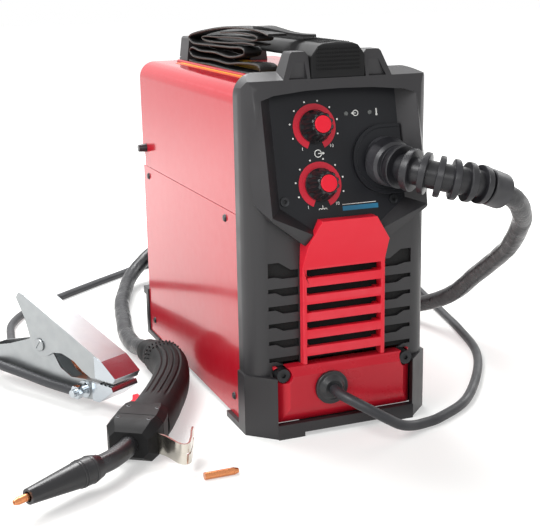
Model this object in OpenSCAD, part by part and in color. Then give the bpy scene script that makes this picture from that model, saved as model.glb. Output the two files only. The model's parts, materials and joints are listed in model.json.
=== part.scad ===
// Portable wire welder in a red sheet metal case with a black moulded front,
// its gun on a sheathed cable, its work clamp, a carrying grip with a folded
// strap, and the wire feeder, spool, fan and power parts inside.
// X runs across the front, Y from the front to the back, Z up from the floor.

/* [Case] */
// Width of the red panels outside
panel_width = 186; // [180:1:192]
// Height of the red top above the floor
panel_height = 334; // [328:1:340]
// Distance from the front of the feet to the rear edge of the red panels
panel_depth = 372; // [364:1:378]
// Sheet metal thickness
sheet = 1.2; // [1:0.1:1.6]
// Height of the seam between the side door and the lower side panel
door_split = 213; // [209:1:217]
// Radius of the case's upper long edges
edge_radius = 18; // [15:1:19]

/* [Front moulding] */
// How far the mouldings stand out from the red panels
moulding_stand = 2; // [1.5:0.5:3]
// Depth of the front moulding along the sides
bezel_depth = 44; // [42:1:48]
// Wall of the mouldings
wall = 3; // [2.5:0.5:3.5]
// Backward lean of the control face
lean = 13.5; // [12:0.5:15]
// Number of cooling slots
slot_count = 6; // [4:1:6]
// Distance between slots
slot_pitch = 17; // [15:0.5:17]
// Height of a slot
slot_height = 8; // [6:0.5:9]

/* [Controls] */
// Diameter of the two knobs at their base
knob_diameter = 31; // [29:1:33]
// How far a knob stands off the control face
knob_height = 22; // [19:1:24]
// Angle that a knob turns through, and that its printed scale covers
knob_turn = 270; // [240:10:300]
// Outer diameter of the printed scale rings
scale_diameter = 43; // [41:1:45]
// Diameter of the raised round boss behind the gun cable
boss_diameter = 66; // [62:1:68]

/* [Carrying grip] */
// Width of the grip at its base
grip_width = 54; // [50:1:56]
// Height of the grip's top above the red top
grip_rise = 37; // [34:1:40]
// Thickness of the grip above the fingers
grip_thickness = 14; // [12:1:15]

/* [Wire feed] */
// Spool flange diameter
spool_diameter = 100; // [92:1:102]
// Spool width
spool_width = 42; // [38:1:44]
// Diameter of the drive roll and of the idler roll
roll_diameter = 26; // [24:1:28]
// Welding wire diameter
wire_diameter = 0.9; // [0.8:0.1:1.2]
// Running clearance of turning parts on their shafts
running_gap = 0.06; // [0.04:0.01:0.09]

/* [Fan] */
// Side of the square fan frame
fan_side = 80; // [76:1:84]
// Number of fan blades
blade_count = 7; // [5:1:9]

/* [Gun] */
// Diameter of the sheathed gun cable
gun_cable_diameter = 20; // [18:1:20]
// Length of the nozzle cone
nozzle_length = 76; // [70:1:80]
// How far the contact tip stands out of the nozzle
tip_stand = 14; // [10:1:16]

/* [Work lead] */
// Diameter of the work cable
work_cable_diameter = 10; // [9:0.5:10]
// Width of the clamp's outer jaw
clamp_width = 34; // [32:1:38]

/* [Hidden] */
$fn = 48;

black_plastic = [0.13, 0.13, 0.14];
red_paint = [0.78, 0.03, 0.06];
red_plastic = [0.75, 0.04, 0.07];
steel = [0.72, 0.73, 0.74];
copper = [0.78, 0.45, 0.28];
eps = 0.01;

// Main outlines.
half_panel = panel_width / 2;
half_width = half_panel + moulding_stand;
top = panel_height + moulding_stand;
bezel_radius = edge_radius + moulding_stand;
face = 15;
foot_height = 61;
foot_stand = 2;
rear_foot_depth = 20;
rear_foot_height = 58;
base_height = 6;
crown = top + 9;
crown_slope = 0.26;
opening_top = top - 7;
opening_side = 64.5;
opening_shoulder = 221;
opening_floor = 201;
opening_foot = 37;
rim_stand = 16.5;
flare = 13.5;
nose_line = 218;
nose_line_depth = -9;
chin = 190;
panel_foot = 210;
panel_foot_depth = 6;
panel_plate = 3;

function panel_y(z) = panel_foot_depth + (z - panel_foot) * tan(lean);

// Middle of the whole set on the floor, so that the frame's origin is there.
set_left = -334.5;
set_right = 141;
set_front = -75.6;
set_rear = 392;
origin_x = (set_left + set_right) / 2;
origin_y = (set_front + set_rear) / 2;

module place() {
  translate([-origin_x, -origin_y, 0]) children();
}

// ---- helpers -------------------------------------------------------------
function unit(v) = v / norm(v);
function curve_point(a, b, c, d, t) =
  0.5 * (2 * b + (c - a) * t + (2 * a - 5 * b + 4 * c - d) * t * t
         + (3 * b - a - 3 * c + d) * t * t * t);
function curve(p, steps) =
  let (n = len(p) - 1)
  [
    for (i = [0:n - 1], k = [0:steps - 1])
      curve_point(p[max(i - 1, 0)], p[i], p[i + 1], p[min(i + 2, n)],
                  k / steps),
    p[n]
  ];
function heading(p, i) =
  unit(p[min(i + 1, len(p) - 1)] - p[max(i - 1, 0)]);
function turned(v, t) = unit(v - (v * t) * t);
function side_of(t) =
  turned(abs(t[2]) < 0.9 ? [0, 0, 1] : [1, 0, 0], t);
function sides(p, i = 0, found = []) =
  i == len(p) ? found
  : sides(p, i + 1, concat(found, [i == 0 ? side_of(heading(p, 0))
      : turned(found[i - 1], heading(p, i))]));

// Swept solid: one ring at each point, a size for each ring.
module sweep(p, wide, high, n) {
  s = sides(p);
  rings = [
    for (i = [0:len(p) - 1], k = [0:n - 1])
      let (t = heading(p, i), up = s[i], across = cross(t, up),
           a = 360 * (k + 0.5) / n)
        p[i] + wide[i] * cos(a) * across + high[i] * sin(a) * up
  ];
  last = (len(p) - 1) * n;
  walls = [
    for (i = [0:len(p) - 2], k = [0:n - 1])
      let (a = i * n + k, b = i * n + (k + 1) % n) each
        [[a, b, a + n], [b, b + n, a + n]]
  ];
  caps = [
    [for (k = [n - 1:-1:0]) k],
    [for (k = [0:n - 1]) last + k]
  ];
  polyhedron(points = rings, faces = concat(walls, caps), convexity = 8);
}
module tube(p, r, n) {
  each_r = [for (i = p) r];
  sweep(p, each_r, each_r, n);
}

// Places a child on the control face: x across, y up the face, z outwards.
module on_panel(x, z) {
  translate([x, panel_y(z), z]) rotate([90 - lean, 0, 0]) children();
}
// Turns a drawing of the front view (x, z) into a block from y0 to y1.
module front_block(y0, y1) {
  translate([0, y1, 0]) rotate([90, 0, 0]) linear_extrude(y1 - y0) children();
}
// Turns a drawing of the side view (y, z) into a block from x0 to x1.
module side_block(x0, x1) {
  translate([x0, 0, 0]) rotate([90, 0, 90]) linear_extrude(x1 - x0)
    children();
}
module rod(from, to, r) {
  v = to - from;
  translate(from) rotate([0, acos(v[2] / norm(v)), atan2(v[1], v[0])])
    cylinder(h = norm(v), r = r);
}

// Front view of the case, round at the two upper corners.
module arch(half, high, radius, low) {
  translate([-half, low]) square([2 * half, high - radius - low]);
  translate([-half + radius, low]) square([2 * (half - radius), high - low]);
  for (s = [-1, 1])
    translate([s * (half - radius), high - radius]) circle(radius);
}
// Plan of the front moulding, round at the two front corners.
module bezel_plan(inset) {
  r = bezel_radius - inset;
  back = bezel_depth + (inset > 0 ? 5 : 0);
  translate([-half_width + inset, face + bezel_radius])
    square([2 * (half_width - inset), back - face - bezel_radius]);
  translate([-half_width + bezel_radius, face + inset])
    square([2 * (half_width - bezel_radius), back - face - inset]);
  for (s = [-1, 1])
    translate([s * (half_width - bezel_radius), face + bezel_radius])
      circle(r);
}
module bezel_mass(inset, low, high) {
  intersection() {
    translate([0, 0, low]) linear_extrude(high - inset - low)
      bezel_plan(inset);
    front_block(face - 1, bezel_depth + (inset > 0 ? 10 : 0))
      arch(half_width - inset, high - inset, bezel_radius - inset, low);
  }
}
function opening(g) = [
  [-opening_foot - g / 2, opening_floor - g],
  [-opening_side - g, opening_shoulder - g / 2],
  [-opening_side - g, opening_top - 2],
  [-opening_side + 4, opening_top + g],
  [opening_side - 4, opening_top + g],
  [opening_side + g, opening_top - 2],
  [opening_side + g, opening_shoulder - g / 2],
  [opening_foot + g / 2, opening_floor - g]
];
rim_bottom = chin - 2;
rim_side = opening_side + flare;
rim_outer = [
  [-43, rim_bottom], [-rim_side, nose_line - 3], [-half_width, nose_line + 18],
  [-half_width, crown], [half_width, crown], [half_width, nose_line + 18],
  [rim_side, nose_line - 3], [43, rim_bottom]
];
// Along the leaning face: a plan (x, depth towards the back) from below up.
module along_face(plan) {
  on_panel(0, nose_line) rotate([-90, 0, 0]) translate([0, 0, -60])
    linear_extrude(220) polygon(plan);
}
// Outside of the frame: a steep flat from the case's side to its front edge.
module frame_outside() {
  along_face([
    [-half_width, 80], [-half_width, 8], [-rim_side - 1, -rim_stand],
    [-rim_side - 1, -40], [rim_side + 1, -40], [rim_side + 1, -rim_stand],
    [half_width, 8], [half_width, 80]
  ]);
}
// Flared well in front of the control face, vee shaped below.
fold_angle = 36;
fold_reach = 15;
module above_fold() {
  on_panel(-rim_side, nose_line - 3) rotate([0, 0, -fold_angle])
    rotate([90, 0, 90]) translate([0, 0, -200]) linear_extrude(400)
      polygon([
        [0, 80], [0, rim_stand], [fold_reach, 0], [fold_reach, -40],
        [400, -40], [400, 80]
      ]);
}
module recess() {
  intersection() {
    along_face([
      [-opening_side, 1], [-opening_side, 0], [-rim_side - 4, -rim_stand - 4],
      [-rim_side - 4, -60], [rim_side + 4, -60],
      [rim_side + 4, -rim_stand - 4], [opening_side, 0], [opening_side, 1]
    ]);
    above_fold();
    mirror([1, 0, 0]) above_fold();
    front_block(-60, 80) polygon([
      [-90, 150], [90, 150], [90, opening_top - 11], [66, opening_top - 3.5],
      [34, opening_top - 0.5], [0, opening_top + 0.3], [-34, opening_top - 0.5],
      [-66, opening_top - 3.5], [-90, opening_top - 11]
    ]);
  }
}
function crown_at(y) = crown - (bezel_depth - y) * crown_slope;

// ---- front moulding ------------------------------------------------------
slot_top = 163;
function slot_z(i) = slot_top - i * slot_pitch;
module black_slot(i) {
  z = slot_z(i);
  first = i == 0;
  outer = half_width - 20;
  polygon([
    [outer, z + (first ? 8 : 0)], [outer - 11, z + (first ? 8 : 0)],
    [outer - 23, z], [grille_half + 1, z],
    [grille_half + 1, z - slot_height], [outer - 15, z - slot_height],
    [outer - 7, z - slot_height / 2 - (first ? 2 : 0)],
    [outer, z - slot_height / 2 - (first ? 2 : 0)]
  ]);
}
grille_half = 43;
grille_low = 70;
nose_wide = 188;
nose_top = 211;
nose_top_half = 28;
nose_front = -6;
window_half = 72;
window_low = 14.5;
bar_depth = 6;
module nose_outline() {
  polygon([
    [-grille_half, grille_low], [-grille_half, 165], [-grille_half + 1, nose_wide],
    [-nose_top_half, nose_top], [nose_top_half, nose_top],
    [grille_half - 1, nose_wide], [grille_half, 165], [grille_half, grille_low]
  ]);
}
tower_low = top - 3;
tower_high = top + 27;
module tower_outline() {
  polygon([[28, tower_low], [57, tower_low], [46, tower_high - 2],
           [44, tower_high], [31, tower_high], [28, tower_high - 3]]);
}
module tower_pocket() {
  polygon([[31, top + 3], [49, top + 3], [42.5, top + 18],
           [32.5, top + 18]]);
}
module bezel_feet() {
  out = half_width + foot_stand;
  for (s = [-1, 1]) scale_side(s) {
    linear_extrude(foot_height) polygon([
      [out, bezel_depth], [out, 26], [out - 27, 0], [60, 0], [60, 5],
      [out - 29, 5], [out - 5, 28], [out - 5, bezel_depth]
    ]);
    translate([45, 0, 0]) cube([window_half - 45, 9, 5]);
    translate([half_panel - 8, bezel_depth - eps, 0])
      cube([out - half_panel + 8, 36, base_height]);
  }
}
module scale_side(s) {
  if (s > 0) children();
  else mirror([1, 0, 0]) children();
}

module front_bezel() {
  color(black_plastic) place() difference() {
    union() {
      difference() {
        bezel_frame();
        // The top falls towards the front.
        side_block(-half_width - 1, half_width + 1) polygon([
          [bezel_depth + 1, crown_at(bezel_depth + 1)], [-40, crown_at(-40)],
          [-40, crown + 9], [bezel_depth + 1, crown + 9]
        ]);
      }
      bezel_feet();
      translate([-window_half, 0, 4.5])
        cube([2 * window_half, bar_depth, window_low - 3]);
      for (s = [-1, 1]) scale_side(s) difference() {
        side_slab();
        front_block(face - 9, face + 9) tower_pocket();
      }
    }
    recess();
    front_block(-60, face + wall + 1) nose_outline();
    front_block(-60, face + wall + 1)
      translate([-window_half, window_low])
        square([2 * window_half, grille_low - window_low]);
    for (s = [-1, 1], i = [0:slot_count - 1])
      scale_side(s) front_block(face - 9, face + wall + 1) black_slot(i);
    // Front corner above the leaning face.
    translate([0, nose_line_depth, nose_line]) rotate([-lean, 0, 0])
      translate([-150, -60, 0]) cube([300, 60, 160]);
  }
}
module bezel_frame() {
  difference() {
    bezel_mass(0, 0, crown);
    bezel_mass(wall, -1, top);
    translate([-half_width - 1, face - 2, -1])
      cube([2 * half_width + 2, bezel_depth, window_low + 1]);
    front_block(face - 2, bezel_depth + 9) polygon(opening(2));
  }
  intersection() {
    front_block(-40, bezel_depth) polygon(rim_outer);
    side_block(-half_width, half_width) polygon([
      [nose_line_depth - 3, crown], [nose_line_depth, nose_line], [0, chin],
      [face, chin - 14], [face + wall, chin - 14],
      [face + wall, 198], [panel_y(198), 198], [panel_y(crown), crown]
    ]);
    front_block(-60, bezel_depth) arch(half_width, crown, bezel_radius, 0);
    frame_outside();
  }
}
module side_slab() {
  front_block(face - 2, bezel_depth) tower_outline();
}

module nose_grille() {
  color(red_plastic) place() difference() {
    intersection() {
      front_block(-20, face + wall) nose_outline();
      side_block(-60, 60) polygon([
        [7, grille_low], [7, 166], [-4, nose_wide],
        [nose_front, nose_top], [panel_y(nose_top), nose_top],
        [panel_y(198), 198], [face + wall, 198], [face + wall, grille_low]
      ]);
    }
    for (i = [0:slot_count - 1])
      translate([-33, -1, slot_z(i) - slot_height])
        cube([66, 30, slot_height]);
    side_block(-34, 34) polygon([
      [10.5, 168], [-0.5, 190], [-1.5, 195], [40, 195], [40, 168]
    ]);
    translate([-34, face - 2, grille_low + 6]) cube([68, 9, 92]);
  }
}

gland_x = -18;
gland_z = 47;
gland_radius = 16.5;
gland_reach = 8;
corner_screw_z = 63;
module lower_front_panel() {
  color(red_plastic) place() difference() {
    intersection() {
      side_block(-window_half, window_half) polygon([
        [6, grille_low], [0, 62], [0, 30], [9, window_low],
        [face + wall, window_low], [face + wall, grille_low]
      ]);
      translate([0, 0, window_low - 1]) linear_extrude(60)
        polygon([[-window_half, face + wall + 1], [-window_half, 12],
                 [-window_half + 13, -1], [window_half - 13, -1],
                 [window_half, 12], [window_half, face + wall + 1]]);
    }
    translate([-window_half + 10, 10, window_low + 6])
      cube([2 * window_half - 20, 20, 44]);
    translate([gland_x, 20, gland_z]) rotate([90, 0, 0])
      cylinder(h = 30, r = 9.3);
    for (s = [-1, 1]) translate([s * (window_half - 7), 20, corner_screw_z])
      rotate([90, 0, 0]) cylinder(h = 30, r = 8);
  }
}

screw_spots = [[-59, 229], [52, 222.5]];
knob_x = -22;
voltage_z = 294;
speed_z = 241.5;
boss_x = 46;
boss_z = 260;
boss_height = 4;
module control_panel() {
  r = boss_diameter / 2;
  color(black_plastic) place() difference() {
    union() {
      intersection() {
        front_block(-10, 80) polygon(opening(1.9));
        side_block(-90, 90) polygon([
          [panel_y(199), 199], [panel_y(top), top],
          [panel_y(top) + panel_plate, top],
          [panel_y(199) + panel_plate, 199]
        ]);
      }
      intersection() {
        on_panel(boss_x, boss_z) {
          translate([0, 0, -1]) cylinder(h = boss_height + 1, r = r);
          translate([0, 0, -1]) linear_extrude(boss_height + 1)
            polygon([[0, -r], [0, r], [40, r], [40, -r]]);
        }
        front_block(-40, 60) polygon(opening(-0.3));
      }
    }
    for (z = [voltage_z, speed_z])
      on_panel(knob_x, z) translate([0, 0, -9])
        cylinder(h = 18, r = 3 + running_gap);
    on_panel(boss_x, boss_z) translate([0, 0, -9]) cylinder(h = 20, r = 12);
    for (p = screw_spots) on_panel(p[0], p[1])
      translate([0, 0, -1.5]) cylinder(h = 5, r = 4.5);
  }
}

half_gap = (360 - knob_turn) / 2;
scale_width = 6.5;
module dial_scales() {
  color([0.65, 0.05, 0.12]) place()
    for (z = [voltage_z, speed_z]) on_panel(knob_x, z) linear_extrude(0.5)
      difference() {
        circle(scale_diameter / 2);
        circle(scale_diameter / 2 - scale_width);
        polygon([[0, 0], [-60 * sin(half_gap), -60 * cos(half_gap)],
                 [60 * sin(half_gap), -60 * cos(half_gap)]]);
      }
}

light_spots = [[11.6, 304], [36.2, 304]];
module indicator_lights() {
  color([0.35, 0.37, 0.36]) place()
    for (p = light_spots) on_panel(p[0], p[1])
      cylinder(h = 1, r1 = 2.4, r2 = 1.8);
}

knob_taper = 4.3;
flute_radius = 2.6;
flute_bite = 1.7;
cap_radius = 8;
module knob_body() {
  r = knob_diameter / 2;
  difference() {
    union() {
      translate([0, 0, 0.8]) cylinder(h = 4, r = r);
      translate([0, 0, 4.8 - eps])
        cylinder(h = knob_height - 5.8, r1 = r - 0.6, r2 = r - knob_taper);
      translate([0, 0, -panel_plate - 9])
        cylinder(h = 14, r = 3);
    }
    for (a = [0:36:324]) rotate([0, 0, a])
      translate([r + flute_radius - flute_bite, 0, 3.5])
        rotate([0, -atan(knob_taper / knob_height), 0])
          cylinder(h = knob_height + 5, r = flute_radius);
    translate([0, 0, knob_height - 2.2]) cylinder(h = 3, r = cap_radius + 0.1);
  }
}
module knob_cap() {
  translate([0, 0, knob_height - 2.2]) cylinder(h = 1.9, r = cap_radius);
}
module voltage_knob() {
  color(black_plastic) place() on_panel(knob_x, voltage_z) knob_body();
}
module voltage_knob_cap() {
  color(red_plastic) place() on_panel(knob_x, voltage_z) knob_cap();
}
module wire_speed_knob() {
  color(black_plastic) place() on_panel(knob_x, speed_z) knob_body();
}
module wire_speed_knob_cap() {
  color(red_plastic) place() on_panel(knob_x, speed_z) knob_cap();
}

// Drooping collar of the cable exit, from the round boss to the relief.
collar_droop = 5.4;
collar_reach = 24.2;
collar_radius = 23.2;
module gun_cable_nut() {
  color(black_plastic) place() on_panel(boss_x, boss_z) {
    intersection() {
      translate([-40, -40, boss_height]) cube([80, 80, 60]);
      rotate([lean + collar_droop, 0, 0]) {
        translate([0, 0, -10]) cylinder(h = 14, r = collar_radius - 2);
        translate([0, 0, 4 - eps])
          cylinder(h = 4, r1 = collar_radius - 2, r2 = collar_radius);
        translate([0, 0, 8 - 2 * eps])
          cylinder(h = collar_reach - 11, r1 = collar_radius, r2 = 21.5);
        translate([0, 0, collar_reach - 3 - 3 * eps])
          cylinder(h = 3, r1 = 21.5, r2 = 19);
      }
    }
    translate([0, 0, -20]) difference() {
      cylinder(h = 20 + boss_height, r = 11.7);
      translate([0, 0, -1]) cylinder(h = 21, r = 4);
    }
  }
}

// Middle line of the ribbed cable relief, from the collar to its end cap:
// evenly spaced points.
boot_knots = [
  [46, -6, 258], [51, -24, 256], [63, -38, 253], [79, -48, 249],
  [97, -53, 245], [116, -53, 240], [133, -50, 233]
];
boot_step = 19;
boot_spans = len(boot_knots) - 1;
function boot_at(reach) =
  let (s = reach / boot_step, k = min(floor(s), boot_spans - 1))
    curve_point(boot_knots[max(k - 1, 0)], boot_knots[k], boot_knots[k + 1],
                boot_knots[min(k + 2, boot_spans)], s - k);
boot_end = boot_knots[boot_spans];
boot_length = boot_spans * boot_step;
boot_core = 13;
ring_count = 7;
ring_pitch = 13.2;
ring_width = 5.5;
cap_start = 93.5;
// Reach along the line and radius there.
boot_profile = concat(
  [[0, 18.5], [3, 18]],
  [
    for (i = [0:ring_count - 1])
      let (s = 6 + i * ring_pitch, r = 20.5 - 0.4 * i)
        each [[s, boot_core], [s + 0.4, r], [s + ring_width, r],
              [s + ring_width + 0.4, boot_core]]
  ],
  [[cap_start, boot_core], [cap_start + 0.4, 17.2],
   [boot_length - 1.5, 17], [boot_length, 15.5]]
);
boot_way = unit(boot_end - boot_at(boot_length - 2));
boot_bore = 20;
cable_seat = boot_end - boot_bore * boot_way;
module gun_cable_boot() {
  r = [for (f = boot_profile) f[1]];
  color([0.16, 0.16, 0.17]) place() difference() {
    sweep([for (f = boot_profile) boot_at(f[0])], r, r, 20);
    rod(cable_seat, boot_end + boot_way, gun_cable_radius + 0.2);
  }
}

module work_cable_gland() {
  color(black_plastic) place() translate([gland_x, 0, gland_z])
    rotate([90, 0, 0]) {
      cylinder(h = 4, r = gland_radius);
      translate([0, 0, 4]) cylinder(h = gland_reach - 4, r1 = 13, r2 = 9);
      translate([0, 0, -14]) cylinder(h = 14, r = 9);
    }
}

// ---- sheet metal ---------------------------------------------------------
inner_half = half_panel - sheet;
inside_top = panel_height - sheet;
rear_wall = panel_depth - 22;
seam = 0.5;
hinge_x = -52;
hinge_radius = 2;
hinge_z = panel_height - sheet + hinge_radius;
hinge_bore = 1;
hinge_parts = 6;
hinge_front = bezel_depth + 20;
hinge_rear = panel_depth - 24;
hinge_part = (hinge_rear - hinge_front) / hinge_parts;
module case_outline() {
  difference() {
    arch(half_panel, panel_height, edge_radius, base_height);
    arch(inner_half, inside_top, edge_radius - sheet, base_height - 1);
  }
}
module hinge_barrels(first) {
  for (i = [first:2:hinge_parts - 1])
    translate([hinge_x, hinge_front + i * hinge_part + 0.25, hinge_z])
      rotate([-90, 0, 0]) cylinder(h = hinge_part - 0.5, r = hinge_radius);
}
module hinge_room(first) {
  for (i = [first:2:hinge_parts - 1])
    translate([hinge_x, hinge_front + i * hinge_part - 0.25, hinge_z])
      rotate([-90, 0, 0])
        cylinder(h = hinge_part + 0.5, r = hinge_radius + 0.4);
}
module hinge_hole(gap) {
  translate([hinge_x, hinge_front - 2, hinge_z]) rotate([-90, 0, 0])
    cylinder(h = hinge_rear - hinge_front + 4, r = hinge_bore + gap);
}
module case_wrapper() {
  color(red_paint) place() difference() {
    union() {
      front_block(bezel_depth, panel_depth) intersection() {
        case_outline();
        translate([hinge_x + seam, 0]) square([300, 500]);
      }
      hinge_barrels(1);
    }
    hinge_room(0);
  }
  // Pin through all the barrels, fixed in this side's own.
  color(red_paint) place()
    translate([hinge_x, hinge_front + 0.25, hinge_z]) rotate([-90, 0, 0])
      cylinder(h = hinge_rear - hinge_front - 0.5, r = hinge_bore);
}
latch_y = panel_depth - 15;
latch_z = door_split + 22;
tongue_reach = 34;
notch = 9;
module side_door() {
  color(red_paint) place() difference() {
    union() {
      front_block(bezel_depth + seam, panel_depth) intersection() {
        case_outline();
        translate([-300, door_split + seam])
          square([300 + hinge_x - seam, 500]);
      }
      hinge_barrels(0);
    }
    hinge_room(1);
    hinge_hole(running_gap);
    side_block(-half_panel - 5, -half_panel + 9) {
      translate([panel_depth - notch, 0]) square([20, door_split + notch]);
      translate([panel_depth, door_split + notch]) circle(notch);
    }
    translate([-half_panel - 5, latch_y, latch_z]) rotate([0, 90, 0])
      cylinder(h = 12, r = 3 + running_gap);
  }
}
module door_latch_knob() {
  color(black_plastic) place()
    translate([-half_panel - 0.3, latch_y, latch_z]) rotate([0, -90, 0]) {
      cylinder(h = 9.5, r1 = 5, r2 = 4.3);
      translate([0, 0, -sheet - 2.3]) cylinder(h = sheet + 2.4, r = 3);
      translate([-3, -3, -sheet - 2.3]) cube([tongue_reach, 6, 1.5]);
    }
}
module lower_side_panel() {
  color(red_paint) place() front_block(bezel_depth, panel_depth)
    intersection() {
      case_outline();
      translate([-300, 0]) square([300, door_split]);
    }
}
pan_front = 29;
module base_pan() {
  color(steel) place() {
    translate([-inner_half, pan_front, base_height])
      cube([2 * inner_half, panel_depth - pan_front, sheet]);
    translate([-40, bar_depth, base_height])
      cube([80, pan_front - bar_depth + 1, sheet]);
    for (s = [-1, 1]) scale_side(s)
      translate([inner_half - sheet, bezel_depth, base_height])
        cube([sheet, rear_wall - bezel_depth, 22]);
  }
}
module case_screws() {
  color([0.2, 0.2, 0.22]) place() {
    for (p = [[panel_depth - 21, door_split - 11], [bezel_depth + 36, door_split - 9],
              [bezel_depth + 22, 26], [panel_depth - 22, 24]])
      for (s = [-1, 1]) scale_side(s)
        translate([half_panel, p[0], p[1]]) rotate([0, 90, 0]) difference() {
          cylinder(h = 1.8, r1 = 4, r2 = 2.8);
          translate([-2.5, -0.5, 1]) cube([5, 1, 2]);
        }
    for (p = screw_spots) on_panel(p[0], p[1]) translate([0, 0, -1.5])
      difference() {
        cylinder(h = 2.5, r = 4.4);
        translate([0, 0, 1]) cylinder(h = 3, r = 2, $fn = 6);
      }
    for (s = [-1, 1])
      translate([s * (window_half - 7), face + wall, corner_screw_z])
      rotate([90, 0, 0]) difference() {
        cylinder(h = 14, r = 6.6);
        translate([0, 0, 12]) cylinder(h = 3, r = 2.5, $fn = 6);
      }
  }
}

switch_x = 38;
switch_z = 250;
mains_x = -38;
mains_z = 235;
fan_z = 105;
module rear_panel() {
  color([0.2, 0.2, 0.22]) place() difference() {
    front_block(rear_wall, rear_wall + sheet) intersection() {
      arch(inner_half, inside_top, edge_radius - sheet, base_height + sheet);
      translate([-200, base_height + sheet]) square([400, 500]);
    }
    translate([switch_x - 10.2, rear_wall - 1, switch_z - 14.2])
      cube([20.4, 4, 28.4]);
    translate([mains_x, rear_wall + 5, mains_z]) rotate([90, 0, 0])
      cylinder(h = 9, r = 9.3);
    for (i = [-3:3]) for (w = [sqrt(36 * 36 - 100 * i * i)])
      translate([-w, rear_wall - 1, fan_z + 10 * i - 3])
        cube([2 * w, 4, 6]);
    for (i = [0:5]) translate([-50, rear_wall - 1, 175 + 6 * i])
      cube([100, 4, 3]);
  }
}
module rear_foot() {
  out = half_width;
  color(black_plastic) place() {
    difference() {
      translate([-out, panel_depth, 0])
        cube([2 * out, rear_foot_depth, rear_foot_height]);
      for (s = [-1, 1]) scale_side(s)
        translate([out, panel_depth + rear_foot_depth, -1])
          rotate([0, 0, 45]) cube([14, 14, 99], center = true);
      translate([-45, panel_depth - 1, -1])
        cube([90, rear_foot_depth + 2, 5]);
    }
    for (s = [-1, 1]) scale_side(s)
      translate([half_panel - 8, panel_depth - 40, 0])
        cube([out - half_panel + 8, 41, base_height]);
  }
}

// ---- carrying grip and strap ---------------------------------------------
grip_top = panel_height + grip_rise;
grip_front = face + 5;
grip_rear = panel_depth - 18;
module carrying_grip() {
  half = grip_width / 2;
  color([0.1, 0.1, 0.11]) place() intersection() {
    side_block(-half, half) polygon([
      [grip_front, crown_at(grip_front)], [grip_front, grip_top - 3],
      [grip_front + 3, grip_top], [grip_rear - 3, grip_top],
      [grip_rear, grip_top - 3], [grip_rear, panel_height],
      [grip_rear - 24, panel_height],
      [grip_rear - 40, grip_top - grip_thickness],
      [grip_front + 46, grip_top - grip_thickness],
      [grip_front + 26, panel_height],
      [bezel_depth, panel_height], [bezel_depth, crown]
    ]);
    front_block(0, panel_depth) union() {
      polygon([
        [-half, panel_height - 1], [-half, grip_top - 12],
        [-half + 7, grip_top - 3], [-half + 12, grip_top - 1],
        [0, grip_top], [half - 12, grip_top - 1],
        [half - 7, grip_top - 3], [half, grip_top - 12],
        [half, panel_height - 1]
      ]);
    }
  }
}
module rear_grip_mount() {
  color(black_plastic) place() for (s = [-1, 1]) scale_side(s)
    difference() {
      front_block(grip_rear - 30, grip_rear) polygon([
        [28, panel_height], [49.5, panel_height], [46, tower_high - 2],
        [44, tower_high], [31, tower_high], [28, tower_high - 3]
      ]);
      front_block(grip_rear - 5, grip_rear + 1) tower_pocket();
    }
}

// Folded webbing: a flat band laid to and fro, drawn as its side view.
strap_left = -48;
strap_width = 19;
strap_thick = 2.4;
strap_base = panel_height;
strap_reach = (panel_depth - 52) / 320;
strap_line = curve([for (p = [
  [320, 3], [295, 2], [250, 3], [200, 2], [150, 2], [110, 3],
  [96, 7], [106, 12], [150, 11], [190, 8], [235, 9], [285, 8],
  [308, 9], [319, 14], [308, 18], [280, 16], [230, 17], [190, 15],
  [160, 17], [140, 21], [146, 26], [185, 25], [240, 24], [290, 23],
  [309, 24], [319, 29], [308, 33], [270, 38], [205, 44], [150, 46],
  [100, 45], [74, 42]
]) [p[0] * strap_reach, p[1]]], 3);
function flat_normal(p, i) =
  let (t = unit(p[min(i + 1, len(p) - 1)] - p[max(i - 1, 0)]))
  [-t[1], t[0]];
module shoulder_strap() {
  n = len(strap_line);
  half = strap_thick / 2;
  one = [for (i = [0:n - 1]) strap_line[i] + half * flat_normal(strap_line, i)];
  two = [for (i = [0:n - 1]) strap_line[i] - half * flat_normal(strap_line, i)];
  x1 = strap_left + strap_width;
  points = [
    for (i = [0:n - 1]) each [
      [strap_left, one[i][0], strap_base + one[i][1]],
      [x1, one[i][0], strap_base + one[i][1]],
      [x1, two[i][0], strap_base + two[i][1]],
      [strap_left, two[i][0], strap_base + two[i][1]]
    ]
  ];
  walls = [
    for (i = [0:n - 2], k = [0:3])
      let (a = 4 * i + k, b = 4 * i + (k + 1) % 4) each
        [[a, a + 4, b], [b, a + 4, b + 4]]
  ];
  last = 4 * (n - 1);
  color([0.05, 0.05, 0.05]) place()
    polyhedron(points = points,
               faces = concat(walls, [[0, 1, 2, 3],
                              [last + 3, last + 2, last + 1, last]]),
               convexity = 12);
}

// ---- rear controls -------------------------------------------------------
rocker_tilt = 12;
module power_switch_housing() {
  color(black_plastic) place() difference() {
    union() {
      translate([switch_x - 12, rear_wall + sheet, switch_z - 16])
        cube([24, 2, 32]);
      translate([switch_x - 10, rear_wall - 12.5, switch_z - 14])
        cube([20, 14.5, 28]);
    }
    translate([switch_x - 7.5, rear_wall - 9, switch_z - 11.5])
      cube([15, 20, 23]);
    translate([switch_x - 9.2, rear_wall - 1.5, switch_z])
      rotate([0, 90, 0]) cylinder(h = 18.4, r = 1.5 + running_gap);
  }
}
module power_rocker() {
  color([0.6, 0.05, 0.08]) place()
    translate([switch_x, rear_wall - 1.5, switch_z]) {
      intersection() {
        rotate([-rocker_tilt, 0, 0]) translate([-7, -4, -10])
          cube([14, 9.5, 20]);
        rotate([0, 90, 0]) cylinder(h = 30, r = 10.8, center = true);
      }
      translate([-9, 0, 0]) rotate([0, 90, 0]) cylinder(h = 18, r = 1.5);
    }
}
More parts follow.
